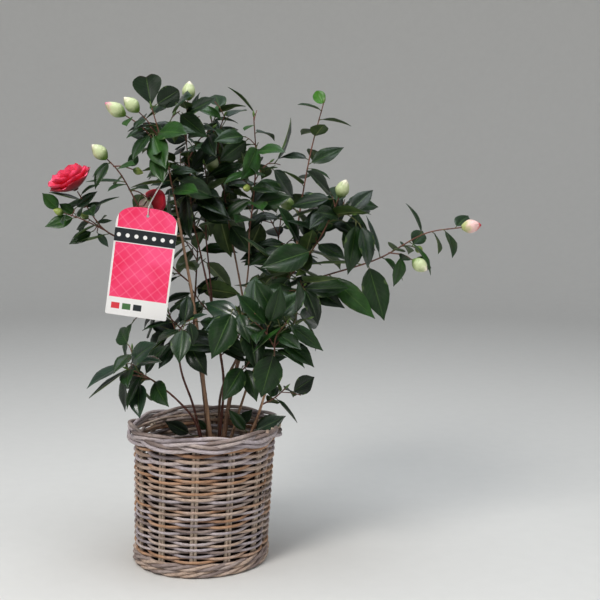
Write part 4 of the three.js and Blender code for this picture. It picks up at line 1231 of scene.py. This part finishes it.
for row in range(ROWS + 4):
    z0 = FOOT_TOP + (row - 0.5) * (RIM_FOOT - FOOT_TOP) / ROWS
    sign = 1 if row % 2 else -1
    is_open = z0 > OPEN_FROM
    wobble = [(deal() - 0.5) * (0.5 if is_open else 1.3) for _ in range(STAKES)]
    slack = [0.9 + 0.2 * deal() for _ in range(STAKES)]

    def row_course(a):
        place = (a - FIRST_STAKE) / (2 * math.pi) * STAKES % STAKES
        low = int(place)
        part = (1 - math.cos(math.pi * (place - low))) / 2
        rise, reach = (v[low] * (1 - part) + v[(low + 1) % STAKES] * part for v in (wobble, slack))
        c = sign * math.cos(STAKES / 2 * (a - FIRST_STAKE))
        radius = mid_radius(z0) + WEAVE_DEPTH * (c * (1.3 - 0.3 * c * c)) * min(reach, 1)
        return radius, z0 + rise + (0.5 - 0.5 * c) * OPEN_STEP * is_open

    tones = (GREY_CANE, TAN_CANE, AMBER_CANE, BROWN_CANE)
    tone = tones[bisect.bisect_right((0.34, 0.66, 0.84), deal())]
    thick = (OPEN_ROD if is_open else ROD) * (0.92 + 0.12 * deal())
    add_ring(weave, row_course, STAKES * 10, thick, tone, row * 1.7)

for k, offset in itertools.product(range(STAKES), (-1, 1)):
    a = FIRST_STAKE + 2 * math.pi * k / STAKES + offset * (STAKE + 0.2) / mid_radius(120)
    at = []
    for z in np.linspace(4, RIM_FOOT + 12, 14):
        at.append(basket_spot(mid_radius(z) + 0.5 * noise.noise((k, offset, z * 0.03)), a, z))
    across, outward = Vector((-math.sin(a), math.cos(a), 0)), Vector((math.cos(a), math.sin(a), 0))
    # The stakes take the paler stake cane: painted light against their shade.
    add_tube(stakes, at, across, outward, STAKE * (0.95 + 0.1 * deal()), 8, STAKE_CANE, k + offset * 0.3)


def add_strands(piece, course, rods, thick, spread, tones):
    """Three strands that wind round each other, each of a few rods side by side."""
    for strand, rod in itertools.product(range(3), range(rods)):
        lag, beside, seed = 2 * math.pi * strand / 3, (rod - (rods - 1) / 2) * thick * 2.2, deal() * 40
        tone = tones[int(deal() * len(tones))]
        size = thick * (spread[0] + spread[1] * deal())
        add_ring(piece, lambda a: course(a, lag, beside, seed), 180, size, tone, seed, 8)


def border_course(a, lag, beside, seed):
    """A flat plait: each strand rises and falls once a cycle and passes over the others."""
    turn = 3 * a + lag
    sways = [noise.noise((math.cos(a) * k, math.sin(a) * k, seed + s)) for k, s in ((2, 0), (3, 9))]
    radius = BORDER_RADIUS + 5.2 * math.sin(2 * turn) + 0.8 * sways[0]
    return radius, BORDER_HEIGHT + 7.6 * math.sin(turn) + beside + 1.3 * sways[1]


add_strands(border, border_course, 2, 3.15, (0.95, 0.12), [GREY_CANE] * 3 + [TAN_CANE, BROWN_CANE])
for k in range(6):  # cut ends of rods that stick out of the border on the right
    a = math.radians(-34 + 9 * k + 5 * deal())
    low = Vector((127 * math.cos(a) + 9, 127 * math.sin(a), 228))
    lean = Vector((0.25 * math.cos(a), 0.25 * math.sin(a) + (deal() - 0.5) * 0.7, 1)).normalized()
    tone = STAKE_CANE if k % 2 else TAN_CANE
    add_rod(border, low, lean, (-6, 2, 10 + 5 * deal()), [2.9, 2.8, 2.6], 8, tone, k)

for centre, middle in ((111.4, 6.9), (111.9, 17.6)):

    def foot_course(a, lag, _, seed):
        turn = 8 * a + lag
        radius = centre + 3 * math.cos(turn) + 0.5 * noise.noise((a * 3, seed, 0))
        return radius, middle + 3.4 * math.sin(turn) + 0.6 * noise.noise((a * 4, seed, 5))

    add_strands(foot, foot_course, 1, 2.9, (0.94, 0.1), [GREY_CANE, BROWN_CANE, TAN_CANE])

radius_now = 8
while radius_now < 107:  # rings of cane under the compost, and rods that cross over them
    add_ring(underside, lambda a: (radius_now, 3.3), 72, 3.0, int(radius_now) % 4, radius_now)
    radius_now += 5.7
for k in range(8):
    out = Vector((math.cos(math.pi * k / 8), math.sin(math.pi * k / 8), 0))
    at = [out * r + UP * 7.5 for r in np.linspace(-108, 108, 9)]
    add_tube(underside, at, UP, UP.cross(out), 2.8, 6, BROWN_CANE, k)
for piece in (weave, stakes, border, foot, underside):
    piece.finish(["basket"])


# Compost: a dark side behind the weave, and a crumbly top with scraps of bark
SOIL_GRAIN = dict(roughness=0.95, grain=(190, 6, 0.7), ends=(0.36, 0.68), relief=(0.003, 0.9))
SOIL_TONES = [
    grainy("compost_dark", dark=srgb(22, 15, 11), pale=srgb(58, 42, 31), **SOIL_GRAIN),
    grainy("compost_chip", dark=srgb(52, 35, 24), pale=srgb(106, 76, 52), **SOIL_GRAIN),
]
BED_SIDES = 96
BED_TOP, BED_SHIFT = 178, 7.4  # its height, and how far it stands to +X of the base there
bed = Piece("compost_bed", "compost", SOIL_TONES)


def soil_radius(z):
    return outer(z) - SOIL_INSET


profile = [(0, 9.5), (0.5, 9.5), (1, 10)] + [(1, z) for z in np.linspace(24, 172, 8)]
profile += [(1 - 0.06 * k, 177 + min(k, 2)) for k in range(1, 16)] + [(0.03, 179)]
points = []
for share, z in profile:
    r = max(share * soil_radius(min(z, BED_TOP)), 0.5)
    for j in range(BED_SIDES):
        spot = basket_spot(r, 2 * math.pi * j / BED_SIDES, z)
        if z > 176:
            spot.z += 3.2 * noise.noise(spot * 0.045) + 1.6 * noise.noise(spot * 0.16) - 1.5
        points.append(tuple(spot))
bed.add(points, capped(len(profile), BED_SIDES), np.zeros((len(points), 2)), 0)
for k in range(260):  # chips of bark
    r, a = soil_radius(BED_TOP) * math.sqrt(deal()) * 0.97, deal() * 6.28
    size = 2.5 + 6 * deal() ** 2
    middle = Vector((r * math.cos(a) + BED_SHIFT, r * math.sin(a), BED_TOP + 0.5 + 2 * deal()))
    lie = Vector((deal() - 0.5, deal() - 0.5, 0.5 * (deal() - 0.5))).normalized()
    stout = 0.3 + 0.1 * deal()
    radii = [[size * a, size * b] * 3 for a, b in ((0.16, 0.1), (stout, 0.2), (stout, 0.2), (0.14, 0.1))]
    add_rod(bed, middle, lie, [size * s for s in (-1, -0.5, 0.4, 1)], radii, 6, int(deal() * 1.7), k)
bed.finish(["compost"])


# Tag: an arched card on a loop of twisted string
TAG_CORNER = 3.0
CARD_ROWS = 8  # of corners, from the hole to the margin
HOLE_Y = TAG["height"] / 2 - TAG["drop"]


def card_outline():
    """Corner points of the card: two rounded lower corners and an arched top."""
    half, top = TAG["width"] / 2, TAG["height"] / 2
    points = []
    for cx, start in ((-half + TAG_CORNER, 180), (half - TAG_CORNER, 270)):
        for a in (math.radians(start + 15 * i) for i in range(7)):
            x, y = cx + TAG_CORNER * math.cos(a), -top + TAG_CORNER + TAG_CORNER * math.sin(a)
            points.append((x, y))
    ends = [(half, top - TAG["arch"]), (half, top), (half * 0.4, top), (0, top)]
    arch = []
    for t in (i / 24 for i in range(25)):
        weights = ((1 - t) ** 3, 3 * t * (1 - t) ** 2, 3 * t * t * (1 - t), t**3)
        arch.append(tuple(sum(w * e[k] for w, e in zip(weights, ends)) for k in (0, 1)))
    return points + arch + [(-x, y) for x, y in arch[-2::-1]]


def tag_face():
    """Print: a rose field with a soft lattice, a dark band with pale dots, and a white foot."""
    s = Shader("tag_print", 0.4, Coat_Weight=0.15, Coat_Roughness=0.2, Specular_IOR_Level=0.3)
    _, x, y = s.plan()
    rose = s.ramp(s.noise(s.place(), 18, 2), (0.3, srgb(236, 34, 84)), (0.7, srgb(252, 84, 132)))
    for slope in (1, -1):
        line = s.plus(s.times(x, 5), s.times(y, 9 * slope))
        soft = s.between(s.off_half(s.maths("FRACT", line)), 0.12, 0.0)
        rose = s.mix(s.times(soft, 0.3), rose, srgb(255, 136, 168))
    paper = srgb(236, 234, 232)

    def within(value, low, high, soft=0.004):
        return s.times(s.between(value, low, low + soft), s.between(value, high, high - soft))

    colour = s.mix(s.times(within(x, 0.03, 0.97), s.between(y, 0.16, 0.165)), paper, rose)
    colour = s.mix(within(y, 0.66, 0.80), colour, paper)
    colour = s.mix(within(y, 0.667, 0.793), colour, srgb(34, 38, 42))
    away_x = s.times(s.less(s.maths("FRACT", s.times(x, 7)), 0.5), TAG["width"] / 7)
    away_y = s.times(s.less(y, 0.73), TAG["height"])
    away = s.maths("SQRT", s.plus(s.times(away_x, away_x), s.times(away_y, away_y)))
    colour = s.mix(s.between(away, 3.6, 3.0), colour, paper)
    blocks = ((0.08, 0.22, (216, 60, 70)), (0.26, 0.40, (70, 112, 66)), (0.44, 0.58, (38, 44, 48)))
    for left, right, tone in blocks:
        colour = s.mix(s.times(within(x, left, right), within(y, 0.055, 0.115)), colour, srgb(*tone))
    s.relief(s.noise(s.place(), 240, 3), 0.0001, 0.3)
    return s.finish(colour)


def on_card(x, y, depth):
    """A place on the card, a little bowed across its width. depth is towards the back."""
    bow = 0.5 * (2 * x / TAG["width"]) ** 2
    return TAG_CENTRE + TAG_RIGHT * x + TAG_UP * y + Vector((0, depth * TAG["thick"] / 2 - bow, 0))


# The card's rows of corners run from the hole out over the front, and back over its other face
tag_edge = grainy("tag_edge", 0.6, (300,), srgb(214, 212, 208), srgb(236, 234, 230))
card = Piece("tag_card", "card", [tag_face(), tag_edge])
rim = card_outline()
points, plan = [], []
for depth, order in ((-1, range(CARD_ROWS)), (1, reversed(range(CARD_ROWS)))):
    for part in (i / (CARD_ROWS - 1) for i in order):
        for x, y in rim:
            a = math.atan2(y - HOLE_Y, x)
            low_x, low_y = TAG["hole"] * math.cos(a), HOLE_Y + TAG["hole"] * math.sin(a)
            x, y = low_x + (x - low_x) * part, low_y + (y - low_y) * part
            points.append(tuple(on_card(x, y, depth)))
            plan.append((x / TAG["width"] + 0.5, y / TAG["height"] + 0.5))
faces = grid_faces(2 * CARD_ROWS, len(rim), closed=True, looped=True)
tones = [0 if i < (CARD_ROWS - 1) * len(rim) else 1 for i in range(len(faces))]
margins = np.zeros((2, CARD_ROWS, len(rim)), bool)
margins[:, [0, -1]] = True
card.add(points, faces, plan, tones, margins.ravel())
card.finish(["tag"])

STRING_GRAIN = dict(stretch=(900, 900, 500), relief=(0.0005,))
string_skin = grainy("string_white", 0.85, (1.0, 3), srgb(186, 184, 180), srgb(238, 236, 232), **STRING_GRAIN)
string = Piece("tag_tie", "string", [string_skin])
tied = stems["crown_a"].spot(0.42)[0]
hole = TAG_CENTRE + TAG_UP * HOLE_Y
ring = SHOOT[0] + GAP + STRING


def round_shoot(degrees, distance=ring):
    return tied + swung(RIGHT, BACK, math.radians(degrees)) * distance


def by_hole(y, rise):
    return hole + TAG_UP * rise + BACK * y


knot = round_shoot(-84, ring + 2)
card_side = TAG["thick"] / 2 + STRING + GAP
loop = [round_shoot(a) for a in (-60, 20, 110, 200, 256)]
down, up = (
    [
        knot,
        by_hole(way * (card_side + 1), TAG["drop"] + above),
        by_hole(way * card_side, TAG["hole"]),
        by_hole(way * card_side / 2, 0),
        by_hole(0, -STRING),
    ]
    for way, above in ((-1, 4), (1, 3))
)
for points in (loop, down, up[::-1]):  # two plies wound round each other
    path = Path(points, max(int(Path(points, 4).length / 1.1), 12))
    cross = crosses(path.side, path.ahead)
    for ply in (0, math.pi):
        at = []
        for i, (p, s, c) in enumerate(zip(path.at, path.side, cross)):
            at.append(p + swung(s, c, ply + i * 0.9) * STRING * 0.42)
        add_tube(string, at, path.side, cross, STRING * 0.56, 6, 0)
for turn in range(3):  # the knot
    axis, flat = headed(30 + 60 * turn, 30), headed(120 + 60 * turn, -20)
    third = axis.cross(flat).normalized()
    flat = third.cross(axis)
    wound = [knot + swung(flat, third, a) * 1.7 for a in np.linspace(0, 6.28, 15)[:-1]]
    add_loop(string, wound, axis, 0.75, 6, 0)
for heading, length in ((190, 12), (-40, 9)):  # its two loose ends
    end = Path([knot, knot + headed(heading, -10) * length * 0.5, knot + headed(heading, -35) * length], 8)
    add_limb(string, end, [0.6] * 9, 6, 0)
string.finish(["tag_string"])


# Floor, light and camera, in metres
BOWL_START, BOWL_CURVE, BOWL_TOP = 3.2, 1.6, 3.4  # a floor that curves up all round
BOWL_SIDES = 96
profile = [(0.4, 0.0), (BOWL_START, 0.0)]
for a in (k / 16 * math.pi / 2 for k in range(1, 17)):
    profile.append((BOWL_START + BOWL_CURVE * math.sin(a), BOWL_CURVE * (1 - math.cos(a))))
profile.append((BOWL_START + BOWL_CURVE, BOWL_TOP))
turns = [2 * math.pi * j / BOWL_SIDES for j in range(BOWL_SIDES)]
corners = [(r * math.cos(a), r * math.sin(a), z) for r, z in profile for a in turns]
sweep = bpy.data.meshes.new("backdrop")
quads = grid_faces(len(profile), BOWL_SIDES, closed=True, flip=True)
sweep.from_pydata(corners, [], quads + [tuple(range(BOWL_SIDES))])
sweep.shade_smooth()
sweep.materials.append(grainy("floor_pale", 0.8, (30,), srgb(214, 212, 208), srgb(216, 214, 210)))
floor = bpy.data.objects.new("backdrop", sweep)
scene = bpy.context.scene
scene.collection.objects.link(floor)

scene.world = bpy.data.worlds.new("studio")
scene.world.use_nodes = True
background = scene.world.node_tree.nodes["Background"].inputs
background["Color"].default_value = (0.86, 0.92, 1.0, 1)
background["Strength"].default_value = 0.27
LIGHTS = [  # name, place, aim, size, watts, colour
    ("key", (-1.1, -1.8, 2.4), (0.05, 0, 0.4), 1.1, 58, (1.0, 0.98, 0.95)),
    ("sky", (0.2, -0.2, 2.9), (0.05, 0.2, 0.3), 2.2, 50, (0.88, 0.94, 1.0)),
    ("fill", (2.2, -1.4, 1.0), (0.05, 0, 0.4), 1.6, 9, (1.0, 0.98, 0.96)),
]
for name, place, aim, size, watts, colour in LIGHTS:
    lamp = bpy.data.lights.new(name, "AREA")
    lamp.shape, lamp.size, lamp.energy, lamp.color = "DISK", size, watts, colour
    made = bpy.data.objects.new(name, lamp)
    made.location = place
    made.rotation_euler = (Vector(aim) - Vector(place)).to_track_quat("-Z", "Y").to_euler()
    scene.collection.objects.link(made)

scene.view_settings.view_transform = "Standard"
camera = bpy.data.objects.new("camera", bpy.data.cameras.new("camera"))
camera.data.sensor_width = 36
camera.data.lens = 66.96
camera.location = (0.172, -1.868, 0.675)
camera.rotation_euler = (math.radians(90 - 7), 0, 0)
scene.collection.objects.link(camera)
scene.camera = camera

bpy.context.view_layer.update()
